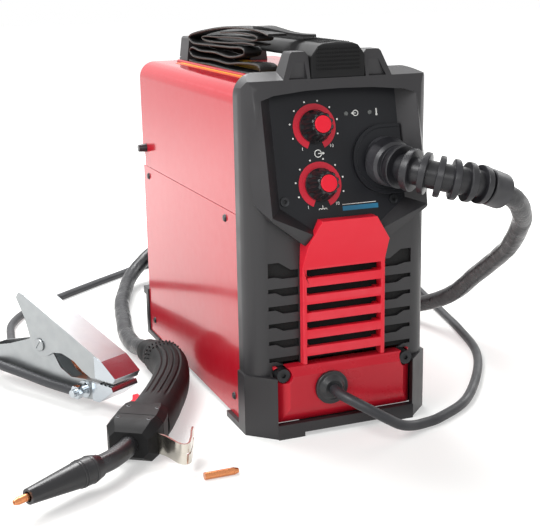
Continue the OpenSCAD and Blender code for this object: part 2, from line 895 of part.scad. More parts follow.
module mains_gland() {
  color(black_plastic) place()
    translate([mains_x, rear_wall + sheet, mains_z]) rotate([-90, 0, 0])
      difference() {
        union() {
          cylinder(h = 5, r = 13, $fn = 6);
          translate([0, 0, 5]) cylinder(h = 12, r1 = 10, r2 = 7);
          translate([0, 0, -14]) cylinder(h = 14, r = 9);
        }
        translate([0, 0, -15]) cylinder(h = 40, r = 5.2);
      }
}

// ---- wire feed -----------------------------------------------------------
shelf_z = 200;
feed_wall = 58;
feed_x = boss_x;
feed_z = boss_z;
roll_y = 175;
roll_radius = roll_diameter / 2;
roll_gap = wire_diameter / 2 + 0.05;
roll_width = 10;
spool_room = 65;
spool_y = rear_wall - spool_room;
spool_z = 262;
spool_middle = feed_x - 18;
hub_radius = 7.5;
arm_y = 150;
arm_z = feed_z + roll_radius + 22;
post_radius = 3;
module feed_shelf() {
  color(steel) place() {
    translate([-inner_half, bezel_depth + 10, shelf_z])
      cube([2 * inner_half, rear_wall - bezel_depth - 10, sheet]);
    for (s = [-1, 1]) scale_side(s)
      translate([inner_half - sheet, bezel_depth + 10, shelf_z - 14])
        cube([sheet, rear_wall - bezel_depth - 10, 14 + eps]);
  }
}
module feed_plate() {
  color(steel) place() difference() {
    translate([feed_wall, 70, shelf_z + sheet])
      cube([feed_plate_thickness, rear_wall - 70, 100]);
    translate([feed_wall - 1, roll_y, feed_z - roll_radius - roll_gap])
      rotate([0, 90, 0]) cylinder(h = 4, r = 6);
  }
  // Post that the pressure arm turns on.
  color(steel) place()
    translate([feed_x - 11, arm_y - 18, arm_z - 4]) rotate([0, 90, 0])
      cylinder(h = feed_wall - feed_x + 11, r = post_radius);
}
module spool_hub() {
  color([0.25, 0.25, 0.27]) place()
    translate([feed_wall, spool_y, spool_z]) rotate([0, -90, 0]) {
      cylinder(h = 6, r = 16);
      cylinder(h = feed_wall - spool_middle + spool_width / 2 + 2,
               r = hub_radius);
      translate([0, 0, feed_wall - spool_middle + spool_width / 2 + 1.5])
        cylinder(h = 7, r = 13, $fn = 6);
    }
}
module wire_spool() {
  r = spool_diameter / 2;
  color([0.1, 0.1, 0.1]) place()
    translate([spool_middle - spool_width / 2 + 0.4, spool_y, spool_z])
      rotate([0, 90, 0]) difference() {
        union() {
          cylinder(h = 2.5, r = r);
          translate([0, 0, spool_width - 3.3]) cylinder(h = 2.5, r = r);
          cylinder(h = spool_width - 1, r = r * 0.48);
        }
        translate([0, 0, -1])
          cylinder(h = spool_width + 2, r = hub_radius + running_gap);
        for (a = [30:60:330]) rotate([0, 0, a]) translate([r * 0.75, 0, -1])
          cylinder(h = spool_width + 2, r = 6);
      }
}
module welding_wire() {
  r = spool_diameter / 2;
  color([0.6, 0.6, 0.58]) place()
    translate([spool_middle - spool_width / 2 + 2.9, spool_y, spool_z])
      rotate([0, 90, 0]) rotate_extrude() {
        translate([r * 0.48, 0])
          square([r * 0.14, spool_width - 5.8]);
        for (i = [0:11])
          translate([r * 0.62, 1.7 + i * (spool_width - 9.2) / 11])
            circle(1.2, $fn = 12);
      }
}
feed_plate_thickness = 2;
motor_room = 4.8;
module drive_motor() {
  color([0.35, 0.35, 0.37]) place()
    translate([feed_wall + feed_plate_thickness, roll_y,
               feed_z - roll_radius - roll_gap])
      rotate([0, 90, 0]) {
        cylinder(h = inner_half - motor_room - feed_wall - feed_plate_thickness,
                 r = 19);
        translate([0, 0, feed_x - feed_wall - 7]) cylinder(h = 40, r = 4);
      }
}
module roll_shape() {
  rotate([0, 90, 0]) difference() {
    translate([0, 0, -roll_width / 2])
      cylinder(h = roll_width, r = roll_radius);
    translate([0, 0, -20]) cylinder(h = 40, r = 4 + running_gap);
    rotate_extrude() translate([roll_radius, 0]) circle(0.5);
    for (a = [0:72:288]) rotate([0, 0, a])
      translate([roll_radius * 0.62, 0, -20]) cylinder(h = 40, r = 1.5);
  }
}
module drive_roll() {
  color(steel) place()
    translate([feed_x, roll_y, feed_z - roll_radius - roll_gap])
      roll_shape();
}
module idler_roll() {
  color(steel) place()
    translate([feed_x, roll_y, feed_z + roll_radius + roll_gap])
      roll_shape();
}
module pressure_arm() {
  z = feed_z + roll_radius + roll_gap;
  color([0.5, 0.5, 0.52]) place() {
    difference() {
      side_block(feed_x - 11, feed_x - 6) polygon([
        [arm_y - 26, arm_z - 12], [arm_y - 26, arm_z + 3],
        [arm_y + 26, arm_z + 3], [roll_y + 10, z + 10], [roll_y + 9, z - 6],
        [roll_y - 9, z - 6], [roll_y - 12, z + 8]
      ]);
      translate([feed_x - 12, arm_y - 18, arm_z - 4]) rotate([0, 90, 0])
        cylinder(h = 20, r = post_radius + running_gap);
    }
    translate([feed_x - 2, arm_y + 16.5, arm_z]) cylinder(h = 17, r = 2.5);
    translate([feed_x - 11, roll_y, z]) rotate([0, 90, 0])
      cylinder(h = 16.8, r = 4);
    translate([feed_x - 11, arm_y + 12, arm_z - 6])
      cube([16, 9, 9]);
  }
}
module tension_knob() {
  color(black_plastic) place()
    translate([feed_x - 2, arm_y + 16.5, arm_z + 3.1]) difference() {
      cylinder(h = 18, r1 = 8, r2 = 6.5);
      translate([0, 0, -1]) cylinder(h = 17, r = 2.5 + running_gap);
      for (a = [0:45:315]) rotate([0, 0, a]) translate([8.6, 0, 3])
        cylinder(h = 20, r = 1.5);
    }
}
module wire_guide() {
  color([0.75, 0.6, 0.3]) place() {
    rod([feed_x, 41, feed_z], [feed_x, roll_y - 14, feed_z], 3);
    translate([feed_x - 6, roll_y - 34, shelf_z + sheet]) {
      cube([12, 10, feed_z - shelf_z - sheet - 2]);
      cube([feed_wall - feed_x + 6, 10, 8]);
    }
  }
}

// ---- power parts ---------------------------------------------------------
core_width = 78;
core_depth = 70;
core_height = 66;
core_limb = 14;
window_width = 18;
core_room = 8.8;
coil_reach = 8;
module transformer() {
  middle = core_width - 2 * core_limb - 2 * window_width;
  left = core_limb + window_width;
  color([0.55, 0.35, 0.2]) place()
    translate([inner_half - core_room - core_width, 110, base_height + sheet]) {
      difference() {
        cube([core_width, core_depth, core_height]);
        for (x = [core_limb, left + middle])
          translate([x, -1, core_limb])
            cube([window_width, core_depth + 2, core_height - 2 * core_limb]);
      }
      translate([left - 6, -coil_reach, core_limb + 2]) difference() {
        cube([middle + 12, core_depth + 2 * coil_reach, core_height - 2 * core_limb - 4]);
        translate([6, coil_reach, -1])
          cube([middle, core_depth, core_height - 2 * core_limb - 2]);
      }
    }
}
fan_y = rear_wall - 26;
module fan_frame() {
  h = fan_side / 2;
  color([0.08, 0.08, 0.08]) place() {
    difference() {
      translate([-h, fan_y, fan_z - h]) cube([fan_side, 25.9, fan_side]);
      translate([0, fan_y - 1, fan_z]) rotate([-90, 0, 0])
        cylinder(h = 30, r = h - 2);
    }
    for (a = [45:90:315]) translate([0, rear_wall - 2.9, fan_z])
      rotate([0, a, 0]) translate([-2, 0, 10]) cube([4, 2.5, h - 7.5]);
    translate([0, rear_wall - 3.3, fan_z]) rotate([-90, 0, 0])
      cylinder(h = 3.1, r = 13);
    translate([0, fan_y + 3, fan_z]) rotate([-90, 0, 0])
      cylinder(h = 20, r = 2);
    translate([-8, fan_y + 4, base_height + sheet])
      cube([16, 18, fan_z - h - base_height - sheet]);
  }
}
module fan_rotor() {
  h = fan_side / 2;
  color([0.08, 0.08, 0.08]) place() translate([0, fan_y + 2, fan_z])
    rotate([-90, 0, 0]) difference() {
      union() {
        cylinder(h = 19, r = 14);
        for (i = [0:blade_count - 1]) rotate([0, 0, i * 360 / blade_count])
          translate([0, 0, 9]) rotate([38, 0, 0])
            translate([12, -1, -8]) cube([h - 16.5, 2, 16]);
      }
      translate([0, 0, -1]) cylinder(h = 40, r = 2 + running_gap);
    }
}

// ---- gun -----------------------------------------------------------------
gun_z = 20;
gun_cable_radius = gun_cable_diameter / 2;
cable_sides = 12;
front_route = [
  cable_seat, boot_end, [152.8, -41.8, 223], [169.4, -28.5, 210.7],
  [187.7, -5.3, 192.7], [203, 26, 170], [216.5, 60, 147], [226.5, 104, 120.5],
  [233, 152, 91], [236, 198, 60], [232, 245, 36], [222, 292, 19],
  [208, 340, 13], [196, 390, 10.7], [188, 450, 10.3], [185, 500, 10.1],
  [185, 515, 10]
];
gun_coil_centre = [75, 515];
gun_coil_radius = 110;
gun_coil_turns = 2.25;
gun_coil_rise = gun_cable_diameter + 0.8;
function helix(centre, radius, turns, rise, low, steps) = [
  for (i = [0:ceil(turns * steps)])
    let (a = min(i / steps, turns) * 360)
      [centre[0] + radius * cos(a), centre[1] + radius * sin(a),
       low + a / 360 * rise]
];
function coil_gap(radius, rise, diameter) =
  rise * cos(atan(rise / (2 * PI * radius))) - diameter;
echo(least_gap_gun_coil =
     coil_gap(gun_coil_radius, gun_coil_rise, gun_cable_diameter));
gun_coil_end = gun_cable_radius + gun_coil_turns * gun_coil_rise;
gun_rear_route = [
  [gun_coil_centre[0], gun_coil_centre[1] + gun_coil_radius, gun_coil_end],
  [45, 628, gun_coil_end + 0.2], [14, 632, 52], [-18, 626, 39],
  [-46, 606, 25], [-68, 575, 15.5], [-84, 535, 11.5], [-104, 475, 10.4],
  [-118, 410, 10.2],
  [-130, 350, 10.8], [-134, 300, 13.5], [-132, 268, 19], [-130, 256, 20]
];
module gun_cable_front() {
  color([0.15, 0.15, 0.16]) place()
    tube(curve(front_route, 3), gun_cable_radius, cable_sides);
}
module gun_cable_coil() {
  color([0.15, 0.15, 0.16]) place()
    tube(helix(gun_coil_centre, gun_coil_radius, gun_coil_turns,
               gun_coil_rise, gun_cable_radius, 24),
         gun_cable_radius, cable_sides);
}
module gun_cable_rear() {
  color([0.15, 0.15, 0.16]) place()
    tube(curve(gun_rear_route, 3), gun_cable_radius, cable_sides);
}

// Stations of the handle: x, y, half width, half thickness.
gun_stations = [
  [-130, 256, 12.5, 12.5], [-127, 244, 14.5, 14], [-124, 234, 17, 16],
  [-122, 222, 19, 18], [-122, 198, 19, 19], [-126, 175, 18.5, 19],
  [-133, 152, 18.5, 19], [-143, 128, 19, 19.5], [-155, 104, 19.5, 20],
  [-168, 80, 20.5, 20], [-181, 58, 21.5, 20], [-189, 46, 22, 20]
];
block_at = [-188, 48];
block_turn = 236;
block_depth = 54;
neck_socket = 5;
module on_block() {
  translate([block_at[0], block_at[1], gun_z]) rotate([0, 0, block_turn])
    children();
}
module gun_block() {
  // Faceted front block of the handle, flats on all sides.
  on_block() intersection() {
      translate([-4, -40, -20]) linear_extrude(40) polygon([
        [0, 16], [8, 13], [18, 14], [30, 16], [47, 14], [58, 20], [58, 60],
        [47, 66], [30, 66], [18, 64], [8, 62], [0, 60]
      ]);
      side_block_local();
    }
}
module side_block_local() {
  rotate([90, 0, 0]) translate([0, 0, -50]) linear_extrude(100)
    polygon([
      [-5, -20], [-5, 20], [42, 20], [block_depth, 12],
      [block_depth, -12], [42, -20]
    ]);
}
module gun_handle() {
  n = len(gun_stations) - 1;
  line = curve([for (g = gun_stations) [g[0], g[1], gun_z]], 2);
  wide = curve([for (g = gun_stations) [g[2], g[3], 0]], 2);
  color([0.07, 0.07, 0.08]) place() difference() {
    union() {
      sweep(line, [for (w = wide) w[0] * 1.04], [for (w = wide) w[1] * 1.0],
            20);
      gun_block();
    }
    on_block() translate([block_depth - neck_socket, 0, 0])
      rotate([0, 90, 0]) cylinder(h = 20, r = 9.2);
    in_trigger() translate([-26, 4, -7.5]) cube([50, 30, 15]);
  }
  // Pin that the trigger turns on, fixed in both cheeks.
  color(steel) place() in_trigger()
    translate([trigger_pin[0], trigger_pin[1], -9]) cylinder(h = 18, r = 1.5);
}
trigger_at = [-168, 80];
trigger_turn = 60;
trigger_pin = [-18, 14];
module in_trigger() {
  translate([trigger_at[0], trigger_at[1], gun_z])
    rotate([0, 0, trigger_turn]) children();
}
module gun_trigger() {
  color(red_plastic) place() in_trigger() translate([0, 0, -6.5])
    difference() {
      linear_extrude(13) polygon([
        [-24, 9], [-23, 24], [-14, 29], [4, 27], [16, 30], [20, 26],
        [12, 20], [2, 16], [-12, 9]
      ]);
      translate([trigger_pin[0], trigger_pin[1], -1])
        cylinder(h = 20, r = 1.5 + running_gap);
    }
}
neck_route = [
  [block_at[0] + (block_depth - neck_socket) * cos(block_turn),
   block_at[1] + (block_depth - neck_socket) * sin(block_turn), gun_z],
  [-222, -3, gun_z], [-230, -12, gun_z], [-241, -22, gun_z],
  [-254, -30, gun_z]
];
nozzle_start = [-254, -30, gun_z];
nozzle_turn = 208;
module gun_neck() {
  color([0.09, 0.09, 0.1]) place()
    tube(curve(neck_route, 3), 9, 16);
}
module gun_nozzle() {
  color([0.08, 0.08, 0.09]) place() translate(nozzle_start)
    rotate([0, 0, nozzle_turn]) rotate([0, 90, 0]) difference() {
      union() {
        cylinder(h = 8, r1 = 10.5, r2 = 12.5);
        translate([0, 0, 8 - eps]) cylinder(h = 10, r = 12.5);
        translate([0, 0, 18 - 2 * eps])
          cylinder(h = nozzle_length - 18, r1 = 12.5, r2 = 7);
      }
      translate([0, 0, nozzle_length - 18]) cylinder(h = 20, r = 4.6);
    }
}
module tip_shape(length) {
  difference() {
    union() {
      cylinder(h = length - 4, r = 3.4);
      translate([0, 0, length - 4 - eps]) cylinder(h = 4, r1 = 3.4, r2 = 2.2);
    }
    translate([0, 0, length - 12]) cylinder(h = 20, r = 0.8);
    for (s = [-1, 1]) translate([-4, s * 5 - 2, length - 10])
      cube([8, 4, 5]);
  }
}
module gun_contact_tip() {
  color(copper) place() translate(nozzle_start)
    rotate([0, 0, nozzle_turn]) rotate([0, 90, 0])
      translate([0, 0, nozzle_length - 18]) tip_shape(18 + tip_stand);
}
module strip(a, b, t) {
  v = b - a;
  translate(a) rotate([0, 0, atan2(v[1], v[0])])
    translate([-t / 2, -t / 2]) square([norm(v) + t, t]);
}
module gun_hook() {
  p = [[-193, 2], [-187, -8], [-182, -27], [-177, -35], [-170, -31],
       [-161, -7], [-157, 2]];
  color(steel) place() translate([0, 0, 9]) linear_extrude(20)
    for (i = [0:len(p) - 2]) strip(p[i], p[i + 1], 2);
}

// ---- work clamp ----------------------------------------------------------
clamp_at = [-285, 292, 0];
clamp_turn = -60;
pivot = [84, 58];
jaw_gauge = 1.8;
jaw_play = 0.4;
module in_clamp() {
  translate(clamp_at) rotate([0, 0, clamp_turn]) rotate([90, 0, 0])
    children();
}
upper_outline = [
  [50, 104], [54, 110], [60, 110], [176, 59], [196, 43], [193, 37],
  [160, 37], [148, 42], [136, 50], [118, 55], [104, 53], [94, 47],
  [84, 45], [74, 48], [70, 60], [62, 84]
];
lower_outline = [
  [-14, 22], [-12, 37], [30, 48], [64, 60], [74, 69], [86, 71], [96, 66],
  [102, 52], [112, 38], [128, 31], [148, 33], [190, 34], [192, 29],
  [172, 14], [150, 12], [100, 13], [60, 14], [20, 16]
];
module channel(points, width, shift) {
  difference() {
    translate([0, 0, -width / 2]) linear_extrude(width) polygon(points);
    translate([shift[0], shift[1], -width / 2 + jaw_gauge])
      linear_extrude(width - 2 * jaw_gauge) polygon(points);
  }
}
module clamp_upper_jaw() {
  color(steel) place() in_clamp() difference() {
    union() {
      channel(upper_outline, clamp_width, [-1.5, -2]);
      translate([0, 0, -clamp_width / 2]) linear_extrude(clamp_width)
        polygon([[168, 37], [193, 37], [196, 43], [178, 57], [168, 60]]);
    }
    translate([pivot[0], pivot[1], -30])
      cylinder(h = 60, r = 4 + running_gap);
    for (x = [164:4:200]) translate([x, 36.6, 0]) rotate([0, 0, 45])
      cube([1.6, 1.6, 60], center = true);
  }
}
module clamp_lower_jaw() {
  inner = clamp_width - 2 * jaw_gauge - 2 * jaw_play;
  color(steel) place() in_clamp() difference() {
    union() {
      channel(lower_outline, inner, [1, 2]);
      translate([0, 0, -inner / 2]) linear_extrude(inner)
        polygon([[132, 12], [150, 12], [172, 14], [192, 29], [190, 34],
                 [150, 33], [132, 31]]);
    }
    translate([pivot[0], pivot[1], -30]) cylinder(h = 60, r = 4);
    translate([148, 22, -30]) cylinder(h = 60, r = 4.3);
  }
}
module clamp_rivet() {
  color(steel) place() in_clamp() translate([pivot[0], pivot[1], 0]) {
    cylinder(h = clamp_width + 1, r = 4, center = true);
    for (s = [-1, 1]) translate([0, 0, s * (clamp_width / 2 + 1.4)])
      cylinder(h = 1.8, r = 7, center = true);
  }
}
spring_turns = 5;
spring_radius = 7;
spring_wire = 1.3;
module clamp_spring() {
  length = spring_turns * (2 * spring_wire + 1.2);
  path = [
    for (i = [0:spring_turns * 12])
      let (a = i * 30)
        [pivot[0] + spring_radius * cos(a), pivot[1] + spring_radius * sin(a),
         -length / 2 + length * i / (spring_turns * 12)]
  ];
  color([0.4, 0.4, 0.42]) place() in_clamp() {
    tube(path, spring_wire, 6);
    translate([pivot[0], pivot[1], -9]) difference() {
      cylinder(h = 18, r = 6.2);
      translate([0, 0, -1]) cylinder(h = 20, r = 4);
    }
  }
}
module clamp_braid() {
  route = curve([[136, 33, 0], [126, 39, 2], [122, 46, 3], [130, 51, 2],
                 [142, 53.5, 0], [150, 56, 0]], 3);
  color(copper) place() in_clamp() sweep(route, [for (p = route) 7],
                                         [for (p = route) 2.6], 12);
}
module clamp_bolt() {
  color([0.75, 0.72, 0.62]) place() in_clamp() translate([148, 22, 0]) {
    translate([0, 0, -clamp_width / 2 + 2]) cylinder(h = clamp_width - 2 + 16, r = 4);
    translate([0, 0, clamp_width / 2 - 2.2]) cylinder(h = 1.6, r = 9);
    translate([0, 0, clamp_width / 2 + 5.4]) cylinder(h = 6, r = 7.5, $fn = 6);
  }
}

// ---- work cable ----------------------------------------------------------
work_radius = work_cable_diameter / 2;
work_coil_centre = [262, 520];
work_coil_radius = 55;
work_coil_turns = 4.25;
work_coil_rise = work_cable_diameter + 0.6;
work_front_route = [
  [gland_x, -gland_reach, gland_z], [-18, -20, 46.5], [-11, -34, 43],
  [3, -43, 35], [20, -45, 24], [36, -41, 14], [52, -35, 8],
  [70, -29, 5.7], [92, -21, 5.3], [138, 9, 5.1], [192, 75, 5.1], [230, 140, 5.1],
  [253, 213, 5.1], [268, 275, 5.1], [283, 343, 5.1], [301, 420, 5.1],
  [315, 485, 5.1], [317, 520, 5]
];
echo(least_gap_work_coil =
     coil_gap(work_coil_radius, work_coil_rise, work_cable_diameter));
work_coil_end = work_radius + work_coil_turns * work_coil_rise;
function clamp_point(s, z, t) =
  [clamp_at[0] + s * cos(clamp_turn) + t * sin(clamp_turn),
   clamp_at[1] + s * sin(clamp_turn) - t * cos(clamp_turn), z];
work_rear_route = [
  [work_coil_centre[0], work_coil_centre[1] + work_coil_radius,
   work_coil_end],
  [238, 578, work_coil_end], [207, 594, 38], [170, 632, 17],
  [120, 670, 7.5], [60, 688, 5.4], [-12, 685, 5], [-70, 645, 5],
  [-134, 595, 5], [-190, 548, 5], [-228, 508, 5], [-250, 464, 5.1],
  [-258, 420, 5.6], [-264, 375, 7.6], [-280, 332, 12], [-297, 292, 20],
  clamp_point(20, 24, 22), clamp_point(60, 22, 21.5),
  clamp_point(100, 20, 21.5), clamp_point(138, 20, 21.5)
];
module work_cable_front() {
  color([0.12, 0.12, 0.13]) place()
    tube(curve(work_front_route, 3), work_radius, 10);
}
module work_cable_coil() {
  color([0.12, 0.12, 0.13]) place()
    tube(helix(work_coil_centre, work_coil_radius, work_coil_turns,
               work_coil_rise, work_radius, 20), work_radius, 8);
}
module work_cable_rear() {
  color([0.12, 0.12, 0.13]) place()
    tube(curve(work_rear_route, 3), work_radius, 10);
}
module spare_contact_tip() {
  color(copper) place() translate([-165, -53, 3.4]) rotate([0, 90, 0])
    tip_shape(32);
}

front_bezel();
nose_grille();
lower_front_panel();
control_panel();
dial_scales();
indicator_lights();
voltage_knob();
voltage_knob_cap();
wire_speed_knob();
wire_speed_knob_cap();
gun_cable_nut();
gun_cable_boot();
work_cable_gland();
base_pan();
case_wrapper();
lower_side_panel();
side_door();
door_latch_knob();
case_screws();
rear_panel();
rear_foot();
carrying_grip();
rear_grip_mount();
shoulder_strap();
power_switch_housing();
power_rocker();
mains_gland();
feed_shelf();
feed_plate();
spool_hub();
wire_spool();
welding_wire();
drive_motor();
drive_roll();
idler_roll();
pressure_arm();
tension_knob();
wire_guide();
transformer();
fan_frame();
fan_rotor();
gun_cable_front();
gun_cable_coil();
gun_cable_rear();
gun_handle();
gun_trigger();
gun_neck();
gun_nozzle();
gun_contact_tip();
gun_hook();
clamp_lower_jaw();
clamp_upper_jaw();
clamp_rivet();
clamp_spring();
clamp_braid();
clamp_bolt();
work_cable_front();
work_cable_coil();
work_cable_rear();
spare_contact_tip();
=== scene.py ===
"""Portable wire welder with its gun and work clamp: looks, light and camera.

Sizes are in millimetres in the machine's own drawing frame (x across the
front, y from the feet to the back, z up) until at() turns them into the
model's metres.
"""

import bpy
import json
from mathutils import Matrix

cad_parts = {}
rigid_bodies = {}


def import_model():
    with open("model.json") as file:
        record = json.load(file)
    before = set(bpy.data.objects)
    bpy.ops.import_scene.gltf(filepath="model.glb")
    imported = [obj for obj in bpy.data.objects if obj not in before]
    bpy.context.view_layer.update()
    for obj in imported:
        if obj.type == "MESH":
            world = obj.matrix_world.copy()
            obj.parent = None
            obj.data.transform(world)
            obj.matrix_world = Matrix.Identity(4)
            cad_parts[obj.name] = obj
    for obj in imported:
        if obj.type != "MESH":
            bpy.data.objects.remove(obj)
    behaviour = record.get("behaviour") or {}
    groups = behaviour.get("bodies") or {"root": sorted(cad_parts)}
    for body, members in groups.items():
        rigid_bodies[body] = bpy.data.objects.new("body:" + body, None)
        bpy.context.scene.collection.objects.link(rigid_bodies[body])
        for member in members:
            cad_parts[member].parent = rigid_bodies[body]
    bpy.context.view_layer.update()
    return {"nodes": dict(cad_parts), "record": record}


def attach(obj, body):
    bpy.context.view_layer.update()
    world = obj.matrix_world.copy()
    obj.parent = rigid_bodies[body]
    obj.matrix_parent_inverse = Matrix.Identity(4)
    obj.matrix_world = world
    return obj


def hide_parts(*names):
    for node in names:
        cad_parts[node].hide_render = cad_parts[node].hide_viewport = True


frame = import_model()

import json
import logging
import math
from collections.abc import Callable, Sequence
from dataclasses import dataclass
from enum import Enum

import bmesh
import bpy
from mathutils import Matrix, Vector, noise

logging.basicConfig(level=logging.INFO, format="%(message)s")
LOG = logging.getLogger("welder")

MM = 0.001
ORIGIN = Vector((-96.75, 158.2, 0.0))
LEAN = math.radians(13.5)
PANEL_FOOT = 210.0
PANEL_FOOT_DEPTH = 6.0
ROOF = 334.0
CLAMP_AT = (-285.0, 292.0)
CLAMP_TURN = -60.0
UPRIGHT = Matrix.Rotation(math.pi / 2, 4, "X")
SIDEWAYS = Matrix.Rotation(math.pi / 2, 4, "Y")
BODIES: dict[str, list[str]] = dict(frame["record"]["behaviour"]["bodies"])
BODY_OF = {node: body for body, nodes in BODIES.items() for node in nodes}
ROOT = "machine"
STEEP = 0.9
NEARLY_ROUND = 359
BAND_STEP = 7
MOTTLE_SPAN = (0.3, 0.7)
EDGE_SPAN = (0.52, 0.62)
LEAST_ROUGH = 0.03
WEAR_PATCHES = 90.0
BRUSH_STRETCH = (0.06, 1.0, 1.0)

Flat = tuple[float, float]
Point = tuple[float, float, float]
Shape = bmesh.types.BMesh
Tree = bpy.types.NodeTree
Socket = bpy.types.NodeSocket


# ---- places and lines ------------------------------------------------------
def at(x: float, y: float, z: float) -> Vector:
    """A point of the drawing frame in the model's metres."""
    return (Vector((x, y, z)) - ORIGIN) * MM


def placed(x: float, y: float, z: float, turn_deg: float = 0.0) -> Matrix:
    """Frame standing at a point, turned about the upright axis."""
    turn = Matrix.Rotation(math.radians(turn_deg), 4, "Z")
    return Matrix.Translation(at(x, y, z)) @ turn @ Matrix.Scale(MM, 4)


def on_panel(x: float, z: float) -> Matrix:
    """Frame on the leaning control face: x across, y up the face, z outwards.

    Args:
        x: Place across the front.
        z: Height above the floor.

    Returns:
        Matrix from millimetres on the face to the model's metres.
    """
    depth = PANEL_FOOT_DEPTH + (z - PANEL_FOOT) * math.tan(LEAN)
    turn = Matrix.Rotation(math.pi / 2 - LEAN, 4, "X")
    return Matrix.Translation(at(x, depth, z)) @ turn @ Matrix.Scale(MM, 4)


def up_face(z: float) -> float:
    """Way up the leaning face to a height above the floor."""
    return (z - PANEL_FOOT) / math.cos(LEAN)


def polar(radius: float, angle: float) -> Flat:
    """Point at a radius and an angle in radians."""
    return radius * math.cos(angle), radius * math.sin(angle)


def smooth_line(points: Sequence[Sequence[float]], steps: int) -> list[Vector]:
    """Runs a smooth curve through points.

    Args:
        points: Points that the curve passes.
        steps: Pieces between two points.

    Returns:
        Points along the curve.
    """
    knots = [Vector(p) for p in points]
    last = len(knots) - 1
    line: list[Vector] = []
    for i in range(last):
        a, b, c, d = knots[max(i - 1, 0)], knots[i], knots[i + 1], knots[min(i + 2, last)]
        for t in (k / steps for k in range(steps)):
            line.append(0.5 * (
                2 * b + (c - a) * t + (2 * a - 5 * b + 4 * c - d) * t * t
                + (3 * b - a - 3 * c + d) * t**3
            ))
    line.append(knots[-1].copy())
    return line


def heading(line: Sequence[Vector], i: int) -> Vector:
    """Unit heading of a line at one of its points."""
    return (line[min(i + 1, len(line) - 1)] - line[max(i - 1, 0)]).normalized()


def frames_along(line: Sequence[Vector]) -> list[tuple[Vector, Vector, Vector]]:
    """Carries a frame along a line without twisting it.

    Args:
        line: Points along the line.

    Returns:
        Heading, side and up vector at each point.
    """
    steep = abs(heading(line, 0).z) > STEEP
    up = Vector((1, 0, 0)) if steep else Vector((0, 0, 1))
    frames: list[tuple[Vector, Vector, Vector]] = []
    for i in range(len(line)):
        ahead = heading(line, i)
        up = (up - ahead * up.dot(ahead)).normalized()
        frames.append((ahead, ahead.cross(up), up.copy()))
    return frames


def line_length(line: Sequence[Vector]) -> float:
    """Length along a line."""
    return sum((b - a).length for a, b in zip(line, line[1:]))


# ---- nodes -----------------------------------------------------------------
def add(
    tree: Tree, kind: str, inputs: dict[str | int, object] | None = None, **settings: object
) -> bpy.types.Node:
    """Adds a node with its settings, values and links.

    Args:
        tree: Tree that gets the node.
        kind: The node's type name.
        inputs: Socket name or index to a value, or to a socket to link from.
        settings: The node's own properties.

    Returns:
        The new node.
    """
    node = tree.nodes.new(kind)
    for key, value in settings.items():
        setattr(node, key, value)
    for key, value in (inputs or {}).items():
        socket = node.inputs[key]
        if isinstance(value, Socket):
            tree.links.new(value, socket)
        else:
            socket.default_value = value
    return node


def speckle(
    tree: Tree, place: Socket, scale: float, detail: float = 4.0, distortion: float = 0.0
) -> Socket:
    """Noise over a place."""
    given = {"Vector": place, "Scale": scale, "Detail": detail, "Distortion": distortion}
    return add(tree, "ShaderNodeTexNoise", given).outputs["Fac"]


def reckoned(tree: Tree, one: object, two: object, way: str = "MULTIPLY") -> Socket:
    """One of the two-number sums of a Math node."""
    return add(tree, "ShaderNodeMath", {0: one, 1: two}, operation=way).outputs[0]


def spanned(tree: Tree, value: Socket, start: Flat, end: Flat) -> Socket:
    """Maps a value from one span to another, held at both ends."""
    names = ("From Min", "From Max", "To Min", "To Max")
    given = {"Value": value, **dict(zip(names, (*start, *end)))}
    return add(tree, "ShaderNodeMapRange", given).outputs[0]


def blended(tree: Tree, amount: Socket, one: object, two: object) -> Socket:
    """Mixes two colours."""
    given = {"Factor": amount, 6: one, 7: two}
    return add(tree, "ShaderNodeMix", given, data_type="RGBA").outputs[2]


def emptied(owner: bpy.types.Material | bpy.types.World) -> Tree:
    """The node tree of a material or a world, with nothing in it."""
    owner.use_nodes = True
    owner.node_tree.nodes.clear()
    return owner.node_tree


def linear(colour: str) -> tuple[float, float, float, float]:
    """Turns a #rrggbb colour into linear light with full alpha."""
    parts = [int(colour[i : i + 2], 16) / 255 for i in (1, 3, 5)]
    light = [p / 12.92 if p <= 0.04045 else ((p + 0.055) / 1.055) ** 2.4 for p in parts]
    return light[0], light[1], light[2], 1.0


class Surface(Enum):
    """How a surface was made, which sets its relief."""

    MOULDED = "moulded"
    COATED = "coated"
    BRUSHED = "brushed"
    WOVEN = "woven"
    CREASED = "creased"
    PLAIN = "plain"


